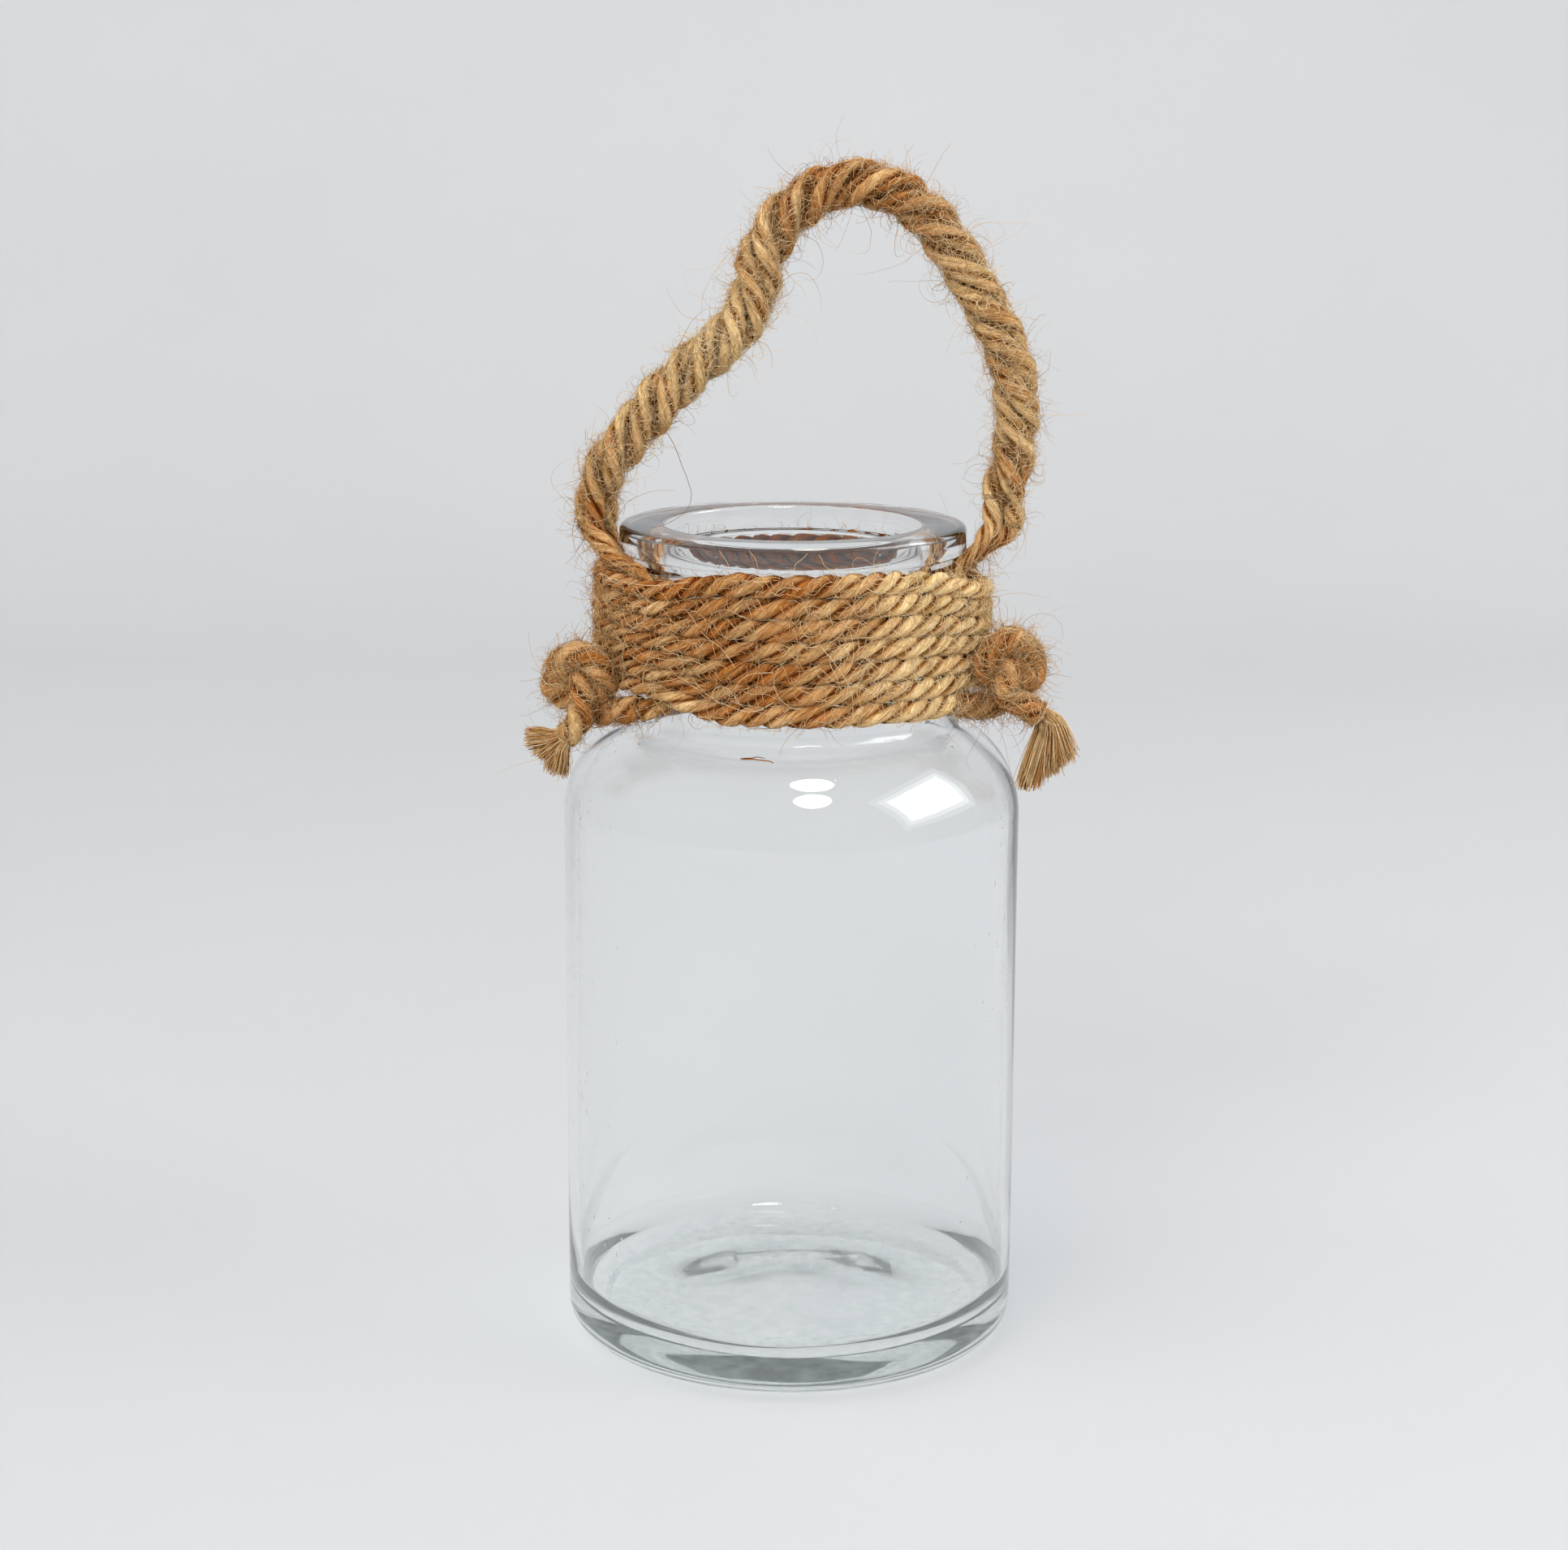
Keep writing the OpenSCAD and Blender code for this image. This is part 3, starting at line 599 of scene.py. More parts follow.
# Colours of the plies from dark to light streaks, of the hairs, and of the shade in the grooves.
PLY_PALE = [(0.28, (0.24, 0.110, 0.028)), (0.41, (0.64, 0.370, 0.120)),
            (0.53, (0.92, 0.680, 0.335)), (0.68, (0.97, 0.870, 0.640))]
PLY_BROWN = [(0.30, (0.060, 0.014, 0.0025)), (0.42, (0.25, 0.072, 0.011)),
             (0.55, (0.50, 0.175, 0.031)), (0.70, (0.74, 0.370, 0.105))]
HAIR_PALE = [(0.0, (0.38, 0.18, 0.045)), (0.4, (0.86, 0.60, 0.265)), (1.0, (0.96, 0.85, 0.60))]
HAIR_BROWN = [(0.0, (0.12, 0.029, 0.0045)), (0.5, (0.50, 0.178, 0.030)), (1.0, (0.84, 0.53, 0.215))]
HAIR_GREEN = (0.16, 0.26, 0.085)
GREEN_PICK = 2.0                         # the pick of the few green hairs; other picks are 0 to 1
GROOVE = [(0.50, (0.055, 0.022, 0.006)), (0.78, (0.43, 0.26, 0.13)), (0.97, (1, 1, 1))]


def jute_material():
    m, nt, out = material("jute")
    fibre, depth = attribute(nt, "fibre", "Vector"), attribute(nt, "depth")
    warm = attribute(nt, "warm")
    fine = noise(nt, scaled(nt, fibre, (0.16, 3.2, 3.2)), 1.0, 4, 0.62)
    hair = noise(nt, scaled(nt, fibre, (0.28, 8.0, 8.0)), 1.0, 2, 0.5)
    slow = noise(nt, scaled(nt, fibre, (0.09, 0.7, 0.7)), 1.0, 2, 0.5)
    streak = maths(nt, "ADD", maths(nt, "MULTIPLY", fine, 0.62), maths(nt, "MULTIPLY", hair, 0.38))
    drift = maths(nt, "MULTIPLY", maths(nt, "SUBTRACT", slow, 0.5), 1.3)
    brown = maths(nt, "ADD", maths(nt, "MULTIPLY_ADD", warm, 0.48, 0.50), drift, clamp=True)
    colour = mix(nt, brown, ramp(nt, PLY_PALE, streak), ramp(nt, PLY_BROWN, streak))
    # painted shade: the ply colour is darkened where depth is low, in the grooves between plies and
    # in hollows and gaps
    colour = mix(nt, 1.0, colour, ramp(nt, GROOVE, depth), "MULTIPLY")
    bump = node(nt, "ShaderNodeBump", Strength=0.9, Distance=0.0004, Height=streak)
    b = node(nt, "ShaderNodeBsdfPrincipled", Base_Color=colour, Specular_IOR_Level=0.04,
             Roughness=greys(nt, (0.2, 0.95), (0.8, 0.72), streak), Normal=bump.outputs["Normal"])
    nt.links.new(b.outputs[0], out.inputs["Surface"])
    return m


def fibre_material():
    m, nt, out = material("jute_fibres")
    pick, warm = attribute(nt, "pick"), attribute(nt, "warm")
    speck = noise(nt, attribute(nt, "along", "Vector"), 2.5, 2)
    brown = maths(nt, "MULTIPLY_ADD", warm, 0.50, 0.46, clamp=True)
    colour = mix(nt, brown, ramp(nt, HAIR_PALE, pick), ramp(nt, HAIR_BROWN, pick))
    colour = mix(nt, maths(nt, "GREATER_THAN", pick, 1.5), colour, HAIR_GREEN)
    specks = ramp(nt, [(0.3, (0.8, 0.76, 0.7)), (0.6, (1, 1, 1))], speck)
    colour = mix(nt, 1.0, colour, specks, "MULTIPLY")
    # painted shade: hairs with a low depth are darkened by the groove ramp
    colour = mix(nt, 1.0, colour, ramp(nt, GROOVE, attribute(nt, "depth")), "MULTIPLY")
    b = node(nt, "ShaderNodeBsdfPrincipled", Base_Color=colour, Specular_IOR_Level=0.12,
             Roughness=greys(nt, (0.3, 0.5), (0.7, 0.75), speck))
    soft = node(nt, "ShaderNodeBsdfTranslucent", Color=colour)
    nt.links.new(mix_shader(nt, 0.15, b.outputs[0], soft.outputs[0]), out.inputs["Surface"])
    return m


def glass_material():
    """Clear glass with a stippled underside, whose shadow is only a little darker than none."""
    m, nt, out = material("clear_glass")
    co = nt.nodes.new("ShaderNodeTexCoord").outputs["Object"]
    waves = noise(nt, scaled(nt, co, (26, 26, 5)), 1.0, 2, 0.5)
    pits = greys(nt, (0.74, 0), (0.8, 1), noise(nt, co, 700, 1, 0.5))
    tall = maths(nt, "ADD", waves, maths(nt, "MULTIPLY", pits, 0.1))
    bump = node(nt, "ShaderNodeBump", Strength=0.12, Distance=0.004, Height=tall)
    b = node(nt, "ShaderNodeBsdfPrincipled", IOR=1.5, Roughness=0.0, Transmission_Weight=1.0,
             Base_Color=(0.99, 0.995, 0.995, 1), Normal=bump.outputs["Normal"])
    height = node(nt, "ShaderNodeSeparateXYZ", Vector=co).outputs["Z"]
    under = greys(nt, (0.0022, 1), (0.0052, 0), height)
    grain = greys(nt, (0.35, 0.16), (0.65, 0.34), noise(nt, co, 260, 2, 0.5))
    frost = node(nt, "ShaderNodeBsdfTranslucent", Color=(0.66, 0.69, 0.68, 1))
    glass = mix_shader(nt, maths(nt, "MULTIPLY", under, grain), b.outputs[0], frost.outputs[0])
    clear = node(nt, "ShaderNodeBsdfTransparent", Color=(0.94, 0.953, 0.96, 1))
    shadow = nt.nodes.new("ShaderNodeLightPath").outputs["Is Shadow Ray"]
    nt.links.new(mix_shader(nt, shadow, glass, clear.outputs[0]), out.inputs["Surface"])
    body = node(nt, "ShaderNodeVolumeAbsorption", Color=(0.66, 0.78, 0.76, 1), Density=2.5)
    nt.links.new(body.outputs[0], out.inputs["Volume"])
    return m


JUTE, FIBRES, GLASS = jute_material(), fibre_material(), glass_material()


# ---------------------------------------------------------------- glass jar
def glass_point(r, z, a, inside):
    """A point of the jar's skin, a little out of true, most of all low on the inside."""
    if inside:
        low = smoothstep((34 - z) / 20)
        dr = low * r / BODY_R * (0.40 * math.sin(3 * a + 1.0) + 0.20 * math.sin(7 * a + 0.16 * z))
        dr += (1 - low) * 0.10 * math.sin(4 * a + z * 0.03) * (z < 150)
        dz = low * (0.20 * math.sin(2 * a + 0.6) * r / BODY_R
                    + 0.12 * math.sin(5 * a + r * 0.12) * smoothstep(r / 30))
    else:
        on_body = HEEL_R < z < SHOULDER_CZ
        dr = on_body * 0.06 * math.sin(3 * a + z * 0.05) * smoothstep((z - 7) / 10)
        dz = 0
    return (r + dr) * math.cos(a), (r + dr) * math.sin(a), z + dz


def make_jar():
    profile = (OUTER + inner_profile())[1:]
    seg = 160
    verts = [glass_point(r, z, 2 * math.pi * k / seg, i >= len(OUTER) - 1)
             for i, (r, z) in enumerate(profile) for k in range(seg)]
    m = len(profile)
    bottom, top = len(verts), len(verts) + 1
    verts += [(0, 0, PUSH_H), (0, 0, PUSH_H + FLOOR_T)]
    faces = [[i * seg + k, i * seg + (k + 1) % seg, (i + 1) * seg + (k + 1) % seg,
              (i + 1) * seg + k] for i in range(m - 1) for k in range(seg)]
    faces += [[bottom, (k + 1) % seg, k] for k in range(seg)]
    faces += [[top, (m - 1) * seg + k, (m - 1) * seg + (k + 1) % seg] for k in range(seg)]
    ob = mesh_object("jar_glass", np.array(verts) * MM, faces)
    ob.data.materials.append(GLASS)
    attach(ob, "jar")
    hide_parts("glass_jar")


make_jar()


# ---------------------------------------------------------------- rope pieces
def settle(ob, how):
    """Puts a piece of rope on the jar, or leaves it unattached with its transform baked into its
    mesh.
    """
    if how == "blend":
        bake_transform(ob)
    else:
        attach(ob, "jar")
    return ob


ropes = {}                               # each part's object and its first and last ring
for name, s0, s1 in zip(PART_NAMES, cuts, cuts[1:]):
    i0 = max(int(np.searchsorted(S, s0)) - 1, 0)
    i1 = min(int(np.searchsorted(S, s1)) + 1, len(S))
    ob = plies(name, i0, i1)
    ob.data.materials.append(JUTE)
    settle(ob, "jar" if name in ("left_knot", "neck_winding", "right_knot") else "blend")
    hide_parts(name)
    ropes[name] = (ob, i0, i1)


# ---------------------------------------------------------------- loose fibres
def strands_mesh(name, paths, radius, pick, warm, taper=0.35, depth=None):
    """One mesh of thin three-sided hairs along paths (hair, point, xyz), in mm."""
    n, m = paths.shape[:2]
    depth = np.ones((n, m)) if depth is None else depth
    d = unit(np.gradient(paths, axis=1))
    ref = np.where(np.abs(d[:, :1, 2:]) > 0.75, [[[1.0, 0, 0]]], [[[0, 0, 1.0]]])
    a = unit(np.cross(d, np.broadcast_to(ref, d.shape)))
    b = np.cross(d, a)
    size = (radius[:, None] * np.linspace(1, taper, m)[None])[..., None]
    corners = [paths + size * (math.cos(t) * a + math.sin(t) * b) for t in (0.3, 2.394, 4.489)]
    verts = np.stack(corners, 2).reshape(-1, 3)
    i, j = np.meshgrid(np.arange(m - 1), np.arange(3), indexing="ij")
    after = (j + 1) % 3
    q = np.stack([i * 3 + j, i * 3 + after, (i + 1) * 3 + after, (i + 1) * 3 + j], -1)
    quads = (q.reshape(-1, 4)[None] + (np.arange(n) * 3 * m)[:, None, None]).reshape(-1, 4)
    along = np.stack([np.broadcast_to(np.arange(n)[:, None] * 3.7, (n, m)),
                      np.broadcast_to(np.arange(m)[None] * 0.4, (n, m)), np.zeros((n, m))], -1)
    ob = mesh_object(name, verts * MM, quads, [
        ("pick", "FLOAT", np.repeat(pick, 3 * m)), ("warm", "FLOAT", np.repeat(warm, 3 * m)),
        ("depth", "FLOAT", np.repeat(depth.reshape(-1), 3)),
        ("along", "FLOAT_VECTOR", np.repeat(along.reshape(-1, 3), 3, axis=0))])
    ob.data.materials.append(FIBRES)
    return ob


def grow(r, start, first, length, steps, curl):
    """Curved random walks from start along first, that stay out of the glass."""
    n = len(start)
    pos, d = start.copy(), unit(first)
    spin = r.normal(size=(n, 3)) * curl * 2 / steps
    out = [pos.copy()]
    for _ in range(steps):
        d = unit(d + np.cross(spin, d) + r.normal(size=(n, 3)) / steps)
        pos = pos + d * (length / steps)[:, None]
        rad = np.linalg.norm(pos[:, :2], axis=1)
        least = glass_radius(pos[:, 2]) + 0.25
        push = np.where((rad < least) & (pos[:, 2] < JAR_H + 0.2),
                        least / np.maximum(rad, 1e-6), 1)
        pos = pos * np.stack([push, push, np.ones(n)], 1)
        out.append(pos.copy())
    return np.stack(out, 1)


def fuzz(part, kind, per_mm, length, lift, radius, seed, outside, steps=6, curl=0.9,
         shades=(1.6, 2.0)):
    """Loose fibres that stand off a length of rope."""
    r = np.random.default_rng(seed)
    _, i0, i1 = ropes[part]
    n = int((i1 - i0) * STEP * per_mm)
    i = r.integers(i0, i1, n)
    a = r.uniform(0, 2 * np.pi, n)
    e = np.cos(a)[:, None] * N[i] + np.sin(a)[:, None] * B[i]
    eu, ev = np.sum(e * U[i], 1), np.sum(e * V[i], 1)
    start = (P[i] + 0.90 * (eu * HALF[i, 0])[:, None] * U[i]
             + 0.90 * (ev * HALF[i, 1])[:, None] * V[i])
    if outside:                          # only on the side that doesn't lie on the glass
        ok = np.sum(unit(start * (1, 1, 0)) * e, 1) > -0.15
        i, e, start = i[ok], e[ok], start[ok]
        n = len(i)
    sign = np.where(r.random(n) < 0.5, -1, 1)[:, None]
    rise = r.uniform(*lift, n)[:, None]
    first = T[i] * sign + e * rise + np.cross(T[i], e) * r.normal(0, 0.35, n)[:, None]
    span = r.uniform(*length, n) * r.uniform(0.5, 1.3, n)
    paths = grow(r, start, first, span, steps, curl)
    pick = r.beta(*shades, n)
    pick[r.random(n) < 0.002] = GREEN_PICK
    return strands_mesh(f"{part}_{kind}", paths, r.uniform(*radius, n), pick, WARM[:, i].mean(0))


def between(a, at):
    """Values of an array of rings at fractions of rings."""
    lo = at.astype(int)
    f = (at - lo).reshape(at.shape + (1,) * (a.ndim - 1))
    return a[lo] * (1 - f) + a[np.minimum(lo + 1, len(S) - 1)] * f


def coat(part, per_mm, seed, outside):
    """Fibres that lie along the plies, half bedded in them, and lift off a little at their ends."""
    r = np.random.default_rng(seed)
    _, i0, i1 = ropes[part]
    n, m = int((i1 - i0) * STEP * per_mm), 6
    t = np.linspace(0, 1, m)[None]
    start, k = r.uniform(i0, i1 - 1, n), r.integers(0, 3, n)
    span = r.uniform(4, 11, n) / STEP * np.where(r.random(n) < 0.5, -1, 1)
    at = np.clip(start[:, None] + span[:, None] * t, i0, i1 - 1.001)
    phi = between(PHASE, at) + 2 * np.pi * k[:, None] / 3
    turn = r.uniform(-1.5, 1.5, n)[:, None] + r.normal(0, 0.5, n)[:, None] * t
    thick = np.stack([between(THICK[q], at) for q in range(3)])[k, np.arange(n)]
    out = np.stack([between(OUT[q], at) for q in range(3)])[k, np.arange(n)]
    lift = r.uniform(0.0, 0.06, n)[:, None] + r.exponential(0.10, n)[:, None] * t ** 2
    rad = PLY_R * thick + lift / ROPE_HALF
    x = out * np.cos(phi) + rad * np.cos(phi + turn)
    y = out * np.sin(phi) + rad * np.sin(phi + turn)
    u, v, half = between(U, at), between(V, at), between(HALF, at)
    w = x[..., None] * between(N, at) + y[..., None] * between(B, at)
    off = between(FAT, at)[..., None] * ((np.sum(w * u, -1) * half[..., 0])[..., None] * u
                                         + (np.sum(w * v, -1) * half[..., 1])[..., None] * v)
    paths = between(P, at) + off
    paths[:, 1:-1] += r.normal(0, 0.05, paths[:, 1:-1].shape)
    # painted shade: coat hairs in the grooves and hollows get a lower depth, which darkens them
    shade_depth = np.hypot(x, y) * openness(paths) * crevice(part, off, u)
    if outside:
        ok = np.sum(unit(off[:, 0]) * unit(paths[:, 0] * (1, 1, 0)), 1) > -0.35
        paths, shade_depth, k, start = paths[ok], shade_depth[ok], k[ok], start[ok]
        n = len(paths)
    warm = WARM[k, start.astype(int)] + r.normal(0, 0.28, n)
    return strands_mesh(part + "_coat", paths, r.uniform(0.055, 0.11, n), r.beta(1.6, 1.7, n), warm,
                        taper=0.5, depth=shade_depth)


def web(part, per_mm, seed, outside):
    """Fine curly fibres that lie across the plies, bridging the grooves like felt."""
    r = np.random.default_rng(seed)
    _, i0, i1 = ropes[part]
    n, m = int((i1 - i0) * STEP * per_mm), 8
    t = np.linspace(0, 1, m)[None]
    span, way = r.uniform(3.5, 9.5, n)[:, None], r.uniform(0, 2 * np.pi, n)[:, None]
    i = r.uniform(i0, i1 - 1, n)
    bow, bow2 = r.normal(0, 0.35, (2, n))[:, :, None]
    run = span * (np.cos(way) * t + bow * np.sin(np.pi * t))
    turn = span * (np.sin(way) * t + bow2 * np.sin(2.2 * np.pi * t)) / FELT_R
    at = np.clip(i[:, None] + run / STEP, i0, i1 - 1.001)
    angle = r.uniform(0, 2 * np.pi, n)[:, None] + turn
    first = at[:, 0].astype(int)
    u, v, half = between(U, at), between(V, at), between(HALF, at)
    rise = (0.97 + r.uniform(0, 0.10, n)[:, None]
            + r.exponential(0.09, n)[:, None] * np.sin(np.pi * t) ** 2)
    loose = (r.random(n) < 0.35)[:, None] * r.exponential(0.30, n)[:, None] * t ** 3
    rise = (rise + loose) * between(FAT, at)
    off = ((rise * np.cos(angle) * half[..., 0])[..., None] * u
           + (rise * np.sin(angle) * half[..., 1])[..., None] * v)
    paths = between(P, at) + off + r.normal(0, 0.04, (n, m, 3))
    if outside:
        ok = np.min(np.sum(unit(off) * unit(paths * (1, 1, 0)), 2), 1) > -0.25
        paths, first, off, u = paths[ok], first[ok], off[ok], u[ok]
        n = len(paths)
    warm = WARM[:, first].mean(0) * 0.7 - 0.30 + r.normal(0, 0.4, n)
    pick = r.beta(2.6, 1.1, n)
    pick[r.random(n) < 0.003] = GREEN_PICK
    # painted shade: web hairs in the handle's hollows and the winding's gaps get a lower depth,
    # which darkens them
    return strands_mesh(part + "_web", paths, r.uniform(0.05, 0.095, n), pick, warm, taper=0.55,
                        depth=openness(paths) * crevice(part, off, u))


def dress(part, how, lying, across, short, halo, long_, curls, seed, outside=False, thick=1.0):
    """All the loose fibres of one length of rope, by their numbers per mm: lying along the plies,
    lying across them, short and curved, a fine halo, long ones, and curls that lie close."""
    made = [coat(part, lying, seed, outside),
            web(part, across, seed + 4, outside),
            fuzz(part, "fibres", short, (2, 8), (0.1, 0.8), (0.05 * thick, 0.085 * thick),
                 seed + 1, outside),
            fuzz(part, "halo", halo, (0.9, 3.2), (0.3, 1.6), (0.038, 0.062), seed + 2, outside,
                 steps=4),
            fuzz(part, "curls", curls, (6, 17), (0.02, 0.32), (0.05, 0.08), seed + 5, outside,
                 steps=11, curl=1.6, shades=(2.4, 1.2))]
    if long_:
        made.append(fuzz(part, "long_fibres", long_, (9, 24), (0.3, 1.1), (0.05, 0.085), seed + 3,
                         outside, steps=9))
    return [settle(ob, how) for ob in made]


for k in (1, 2, 3):
    dress(f"handle_strand_{k}", "blend", 11, 4.5, 9, 12, 0.34, 1.1, 100 * k)
dress("neck_winding", "jar", 9, 3.2, 4, 3, 0.15, 0.3, 400, outside=True)
for k, part in enumerate(("left_root", "left_bight", "right_bight", "right_lead")):
    dress(part, "blend", 11, 4.5, 7, 8, 0, 1.1, 500 + 10 * k, outside=True)
left_hair = dress("left_knot", "jar", 12, 6, 12, 12, 0.15, 2, 600)
right_hair = dress("right_knot", "jar", 12, 9, 20, 16, 0.2, 3, 700, thick=1.15)


# ---------------------------------------------------------------- wisps across the ropes
def wander(r, n, m, shortest, longest):
    """Curly tracks on a flat sheet: two coordinates in mm, and the height above the sheet."""
    span = r.uniform(shortest, longest, n)[:, None] / m
    way = r.uniform(0, 2 * np.pi, n)[:, None] + np.cumsum(
        r.normal(0, 1.5, n)[:, None] / m + np.cumsum(r.normal(0, 0.07, (n, m)), 1), 1)
    end_lift = np.linspace(0, 1, m)[None] ** 4
    lift = 0.12 + r.exponential(0.12, (n, 1)) + r.exponential(0.9, (n, 1)) * end_lift
    return np.cumsum(np.cos(way) * span, 1), np.cumsum(np.sin(way) * span, 1), lift


def wisp_mesh(r, name, how, paths):
    n = len(paths)
    settle(strands_mesh(name, paths, r.uniform(0.045, 0.085, n), r.beta(2.6, 1.0, n),
                        r.normal(-0.1, 0.4, n), taper=0.5), how)


def winding_wisps():
    """Long pale hairs that lie across several turns of the winding."""
    r = np.random.default_rng(92)
    n = 520
    along, across, lift = wander(r, n, 22, 7, 26)
    a = r.uniform(0, 360, n)[:, None] + np.degrees(along / WRAP_R)
    low_z, high_z = WIND_TOP - 6 * PITCH - 2.6, WIND_TOP + 1.6
    swell = np.vectorize(swelling)(a)
    z = np.clip(r.uniform(low_z, high_z, n)[:, None] + across, low_z, high_z - DIP * swell)
    rad = WIND_R + WOUND_D / 2 * 1.12 + (SWELL + 0.2) * swell + lift
    a = np.radians(a)
    wisp_mesh(r, "winding_wisps", "jar", np.stack([rad * np.cos(a), rad * np.sin(a), z], 2))


def handle_wisps():
    """Long pale hairs that lie across the handle's strands."""
    r = np.random.default_rng(93)
    n = 420
    along, across, lift = wander(r, n, 18, 5, 18)
    s_line = lengths(handle_line)
    s = np.clip(r.uniform(6, s_line[-1] - 6, n)[:, None] + along, 4, s_line[-1] - 4)
    a = (r.uniform(0, 2 * np.pi, n)[:, None] + across / BUNDLE_R)[..., None]
    tangent = unit(np.gradient(handle_line, axis=0))
    at, t = (np.stack([np.interp(s, s_line, q[:, c]) for c in range(3)], 2)
             for q in (handle_line, tangent))
    y = np.array([0, 1.0, 0])
    out = np.cos(a) * y + np.sin(a) * np.cross(t, y)
    wisp_mesh(r, "handle_wisps", "blend", at + (BUNDLE_R + lift)[..., None] * out)


winding_wisps()
handle_wisps()

# ---------------------------------------------------------------- single hairs in the photo
SINGLE_HAIRS = [                         # pick, warm, radius, and points in mm
    # from the handle to the rim
    (0.1, 0.8, 0.09, [(-33, -3.5, 224), (-29, -6, 221), (-26, -9, 214), (-24, -12, 208),
                      (-24.8, -14.5, 204.4), (-28.4, -16.5, 201.8), (-33, -18, 200.5)]),
    # over the rim
    (0.8, 0.2, 0.08, [(-16.6, -38.4, 198.6), (-15.2, -38.9, 196.6), (-14.4, -39.4, 194.2),
                      (-14.9, -40.4, 190.6)]),
    (0.7, 0.4, 0.09, [(-9.8, -40.7, 198.9), (-8.3, -41, 196.6), (-7.7, -41.2, 193.9),
                      (-8.6, -42.2, 190.2)]),
    (0.9, 0.0, 0.08, [(3.2, -41.6, 198.6), (0.8, -41.8, 196.4), (-0.7, -41.8, 193.2),
                      (-4, -42.6, 191)]),
    (0.8, 0.1, 0.08, [(5.8, -41.2, 198.4), (7.4, -41, 195.6), (10.4, -40.6, 194.2),
                      (14.2, -40.4, 191.6)]),
    (0.9, -0.2, 0.06, [(31.2, -27.6, 202), (33.2, -25.2, 199), (32.2, -26.6, 195),
                       (30, -30.6, 190)]),
    # on the winding
    (0.9, 0.0, 0.10, [(-27.6, -34.6, 188), (-23.6, -37.6, 184.5), (-20.6, -39.2, 180.2),
                      (-16, -41.3, 176.4), (-12.4, -42.5, 172)]),
    (0.95, -0.2, 0.11, [(6.3, -43.8, 178), (10.7, -43, 172), (13.4, -42.2, 166.4),
                        (13.6, -42.1, 160.6)]),
    (0.9, -0.4, 0.10, [(15.8, -41.4, 175), (21, -39, 171.4), (26.8, -35.3, 168.6)]),
    (0.8, 0.2, 0.09, [(-33.8, -28.6, 189), (-29.2, -33.2, 183), (-27.4, -34.8, 175),
                      (-28.4, -34, 167)]),
    # a scrap of fibre on the shoulder
    (0.3, 0.9, 0.26, [(-11.7, -41.5, 151.3), (-8.7, -42.2, 151.3), (-5.6, -42.8, 151.1),
                      (-4.2, -43.4, 150.6)]),
    (0.0, 1.2, 0.15, [(-11.2, -41.6, 151.4), (-8.4, -42.4, 151.1), (-6.2, -42.9, 150.9)]),
    # a green fibre by the right knot
    (GREEN_PICK, 0, 0.16, [(44.8, -16, 177.4), (46.6, -13.4, 175), (47.7, -9.8, 173.2)])]


def single_hairs():
    r = np.random.default_rng(91)
    pick, warm, width, lines = zip(*SINGLE_HAIRS)
    paths = np.array([evenly(curve(q, 6), 24) for q in lines])
    paths += np.cumsum(r.normal(0, 0.07, paths.shape), 1) - np.array([0, 0.25, 0])
    settle(strands_mesh("single_hairs", paths, np.array(width), np.array(pick), np.array(warm),
                        taper=0.6), "jar")


single_hairs()


# ---------------------------------------------------------------- frayed tails
def frayed(name, replaces, path, way, spread, l, seed, warm):
    """A rope's end, opened into its three plies and brushed out round the lines of the CAD's."""
    hairs_per_ply, points, ragged = 420, 9, 0.16
    r = np.random.default_rng(seed)
    start, onward = path[-1], unit(path[-1] - path[-2])
    way, spread = unit(np.array(way, float)), np.array(spread, float)
    bend = start + onward * 2.5
    paths, shade, shade_depth = [], [], []
    for k in (-1, 0, 1):
        spine = curve([start - onward * 1.5 + k * unit(spread) * 0.6,
                       bend + k * unit(spread) * 1.1,
                       bend + way * (l - 2.5) / 2 + k * spread * 0.6,
                       bend + way * (l - 2.5) + k * spread], 4)
        t = np.linspace(0, 1, len(spine))
        side1 = unit(np.cross(spine[-1] - spine[0], (0.1, 1, 0.3)))
        side2 = unit(np.cross(spine[-1] - spine[0], side1))
        wide = np.array([1.35 + 1.4 * smoothstep(1.4 * q) for q in t])
        for _ in range(hairs_per_ply):
            a, w = r.uniform(0, 2 * np.pi), math.sqrt(r.random())
            off = (math.cos(a) * side1 + math.sin(a) * side2)[None] * (w * wide)[:, None]
            p = spine + off + np.cumsum(r.normal(0, 0.11, spine.shape), 0) * t[:, None]
            stray = r.random() < 0.16
            if stray:
                p = p + (unit(off[-1]) * r.uniform(0.6, 2.4))[None] * (t ** 2)[:, None]
            cut_at = 1 - ragged * r.random() ** 1.5 * (2 if stray else 1)
            paths.append(evenly(p, points, cut_at))
            # painted shade: hairs nearer the middle of a ply get a darker, warmer colour and a
            # lower depth
            shade.append(warm + 0.25 * (1 - w) + 0.5 * (r.random() < 0.12))
            shade_depth.append(0.76 + 0.24 * w)
    n = len(paths)
    hair = strands_mesh(name, np.array(paths), r.uniform(0.06, 0.13, n), r.beta(1.1, 0.8, n),
                        np.array(shade) + r.normal(0, 0.65, n), taper=0.75,
                        depth=np.repeat(np.array(shade_depth)[:, None], points, axis=1))
    settle(hair, "jar")
    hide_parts(replaces)
    return hair


left_tail = frayed("left_tail_brush", "left_tail", left_knot_path, (-0.72, 0.05, -0.66),
                   (3.1, -0.6, -3.6), 8, 71, 0.2)
right_tail = frayed("right_tail_brush", "right_tail", right_knot_path, (0, 0, -1),
                    (4.6, 0.6, 3), 15.5, 72, 0.05)


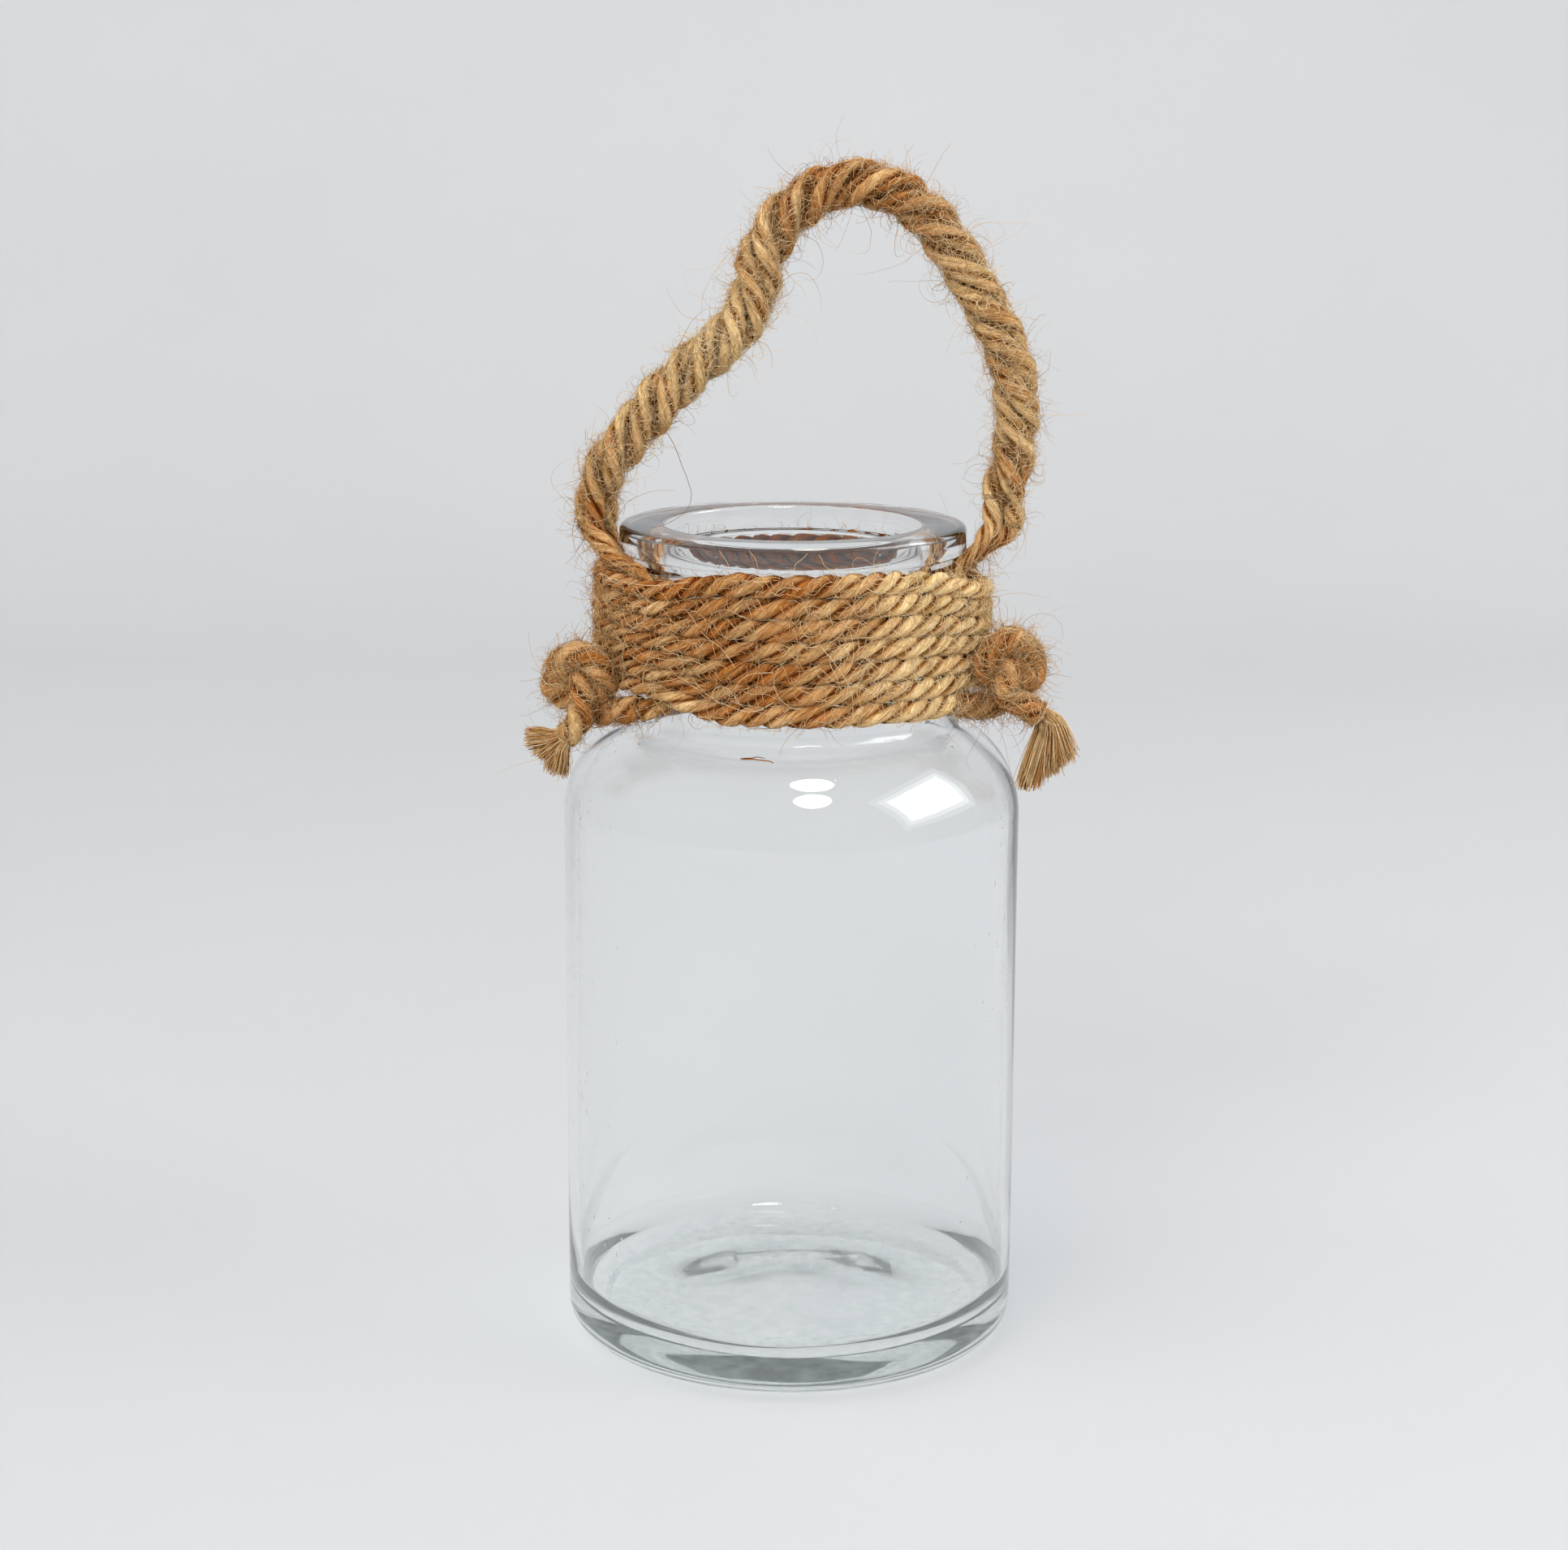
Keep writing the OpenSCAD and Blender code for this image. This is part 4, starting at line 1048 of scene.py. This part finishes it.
# ---------------------------------------------------------------- stage and light
def make_sweep():
    """A sheet of pale paper that curves up behind the jar, just under the plane it stands on."""
    bend, columns, gap = 0.9, 9, 0.0003
    profile = [(-3.0, 0.0), (-1.5, 0.0), (0.0, 0.0), (bend, 0.0)]
    profile += [(bend + bend * math.sin(a), bend - bend * math.cos(a))
                for a in np.linspace(0, math.pi / 2, 24)[1:]]
    profile += [(2 * bend, 1.6), (2 * bend, 2.4)]
    verts = [(x, y, z - gap) for y, z in profile for x in np.linspace(-2.2, 2.2, columns)]
    faces = [[i * columns + k, i * columns + k + 1, (i + 1) * columns + k + 1,
              (i + 1) * columns + k]
             for i in range(len(profile) - 1) for k in range(columns - 1)]
    ob = mesh_object("paper_sweep", verts, faces)
    m, nt, out = material("paper")
    co = nt.nodes.new("ShaderNodeTexCoord").outputs["Object"]
    grain = greys(nt, (0.3, 0.97), (0.7, 1), noise(nt, co, 3.0, 3))
    y = node(nt, "ShaderNodeSeparateXYZ", Vector=co).outputs["Y"]
    # painted light: the paper is paler towards the back and up the sweep, making up for the lamp
    # light that falls off there
    back = maths(nt, "MULTIPLY", y, 0.55, clamp=True)
    colour = mix(nt, back, (0.547, 0.552, 0.558), (0.655, 0.660, 0.667))
    b = node(nt, "ShaderNodeBsdfPrincipled", Roughness=0.9, Specular_IOR_Level=0.1,
             Base_Color=mix(nt, 1.0, colour, grain, "MULTIPLY"))
    nt.links.new(b.outputs[0], out.inputs["Surface"])
    ob.data.materials.append(m)


make_sweep()


def lamp(name, place, aim, size, power, colour, hidden, size_y=None, shape="RECTANGLE"):
    """An area lamp, hidden from the named kinds of ray."""
    data = bpy.data.lights.new(name, "AREA")
    data.shape = shape
    data.size, data.size_y = size, size_y or size
    data.energy, data.color = power, colour
    ob = bpy.data.objects.new(name, data)
    ob.location = place
    ob.rotation_euler = (Vector(aim) - Vector(place)).to_track_quat("-Z", "Y").to_euler()
    bpy.context.scene.collection.objects.link(ob)
    for ray in hidden:
        setattr(ob, "visible_" + ray, False)


# Some lamps only light the scene, and others are only seen mirrored in the glass.
LIGHTS, MIRRORED = ("glossy", "transmission"), ("diffuse", "transmission")
lamp("window_light", (1.30, -0.30, 0.85), (0, 0, 0.16), 0.75, 13, (0.93, 0.97, 1.0), LIGHTS)
for k, (wide, tall, power) in enumerate(((1.05, 0.68, 10), (1.25, 0.86, 8), (1.5, 1.08, 7)), 1):
    lamp(f"window_pane_{k}", (1.30 + 0.01 * k, -0.16, 0.95), (0, 0, 0.16), wide, power,
         (0.95, 0.98, 1.0), MIRRORED, tall)
lamp("front_light", (-0.9, -2.0, 1.5), (0, 0, 0.18), 1.5, 40, (1.0, 0.985, 0.965), LIGHTS, 1.1)
lamp("room_light", (-0.5, -0.4, 1.9), (0, 0, 0.1), 1.2, 6, (1.0, 0.98, 0.95), LIGHTS, 1.0)
for k, place in enumerate(((0.169, -0.398, 1.438), (0.199, -0.815, 1.240)), 1):
    lamp(f"ceiling_lamp_{k}", place, (0, 0, 0.15), 0.40, 5.5, (1.0, 0.94, 0.85), MIRRORED,
         shape="DISK")


def make_world():
    """The room's plain light, a little brighter from above."""
    world = bpy.data.worlds.new("room")
    bpy.context.scene.world = world
    world.use_nodes = True
    nt = world.node_tree
    nt.nodes.clear()
    up_z = node(nt, "ShaderNodeSeparateXYZ",
                Vector=nt.nodes.new("ShaderNodeTexCoord").outputs["Generated"]).outputs["Z"]
    sky = ramp(nt, [(0.0, (0.55, 0.55, 0.56)), (0.5, (0.60, 0.61, 0.63)),
                    (1.0, (0.85, 0.86, 0.87))],
               maths(nt, "ADD", maths(nt, "MULTIPLY", up_z, 0.5), 0.5))
    back = node(nt, "ShaderNodeBackground", Color=sky, Strength=0.95)
    node(nt, "ShaderNodeOutputWorld", Surface=back.outputs[0])


make_world()
bpy.context.scene.view_settings.view_transform = "Standard"
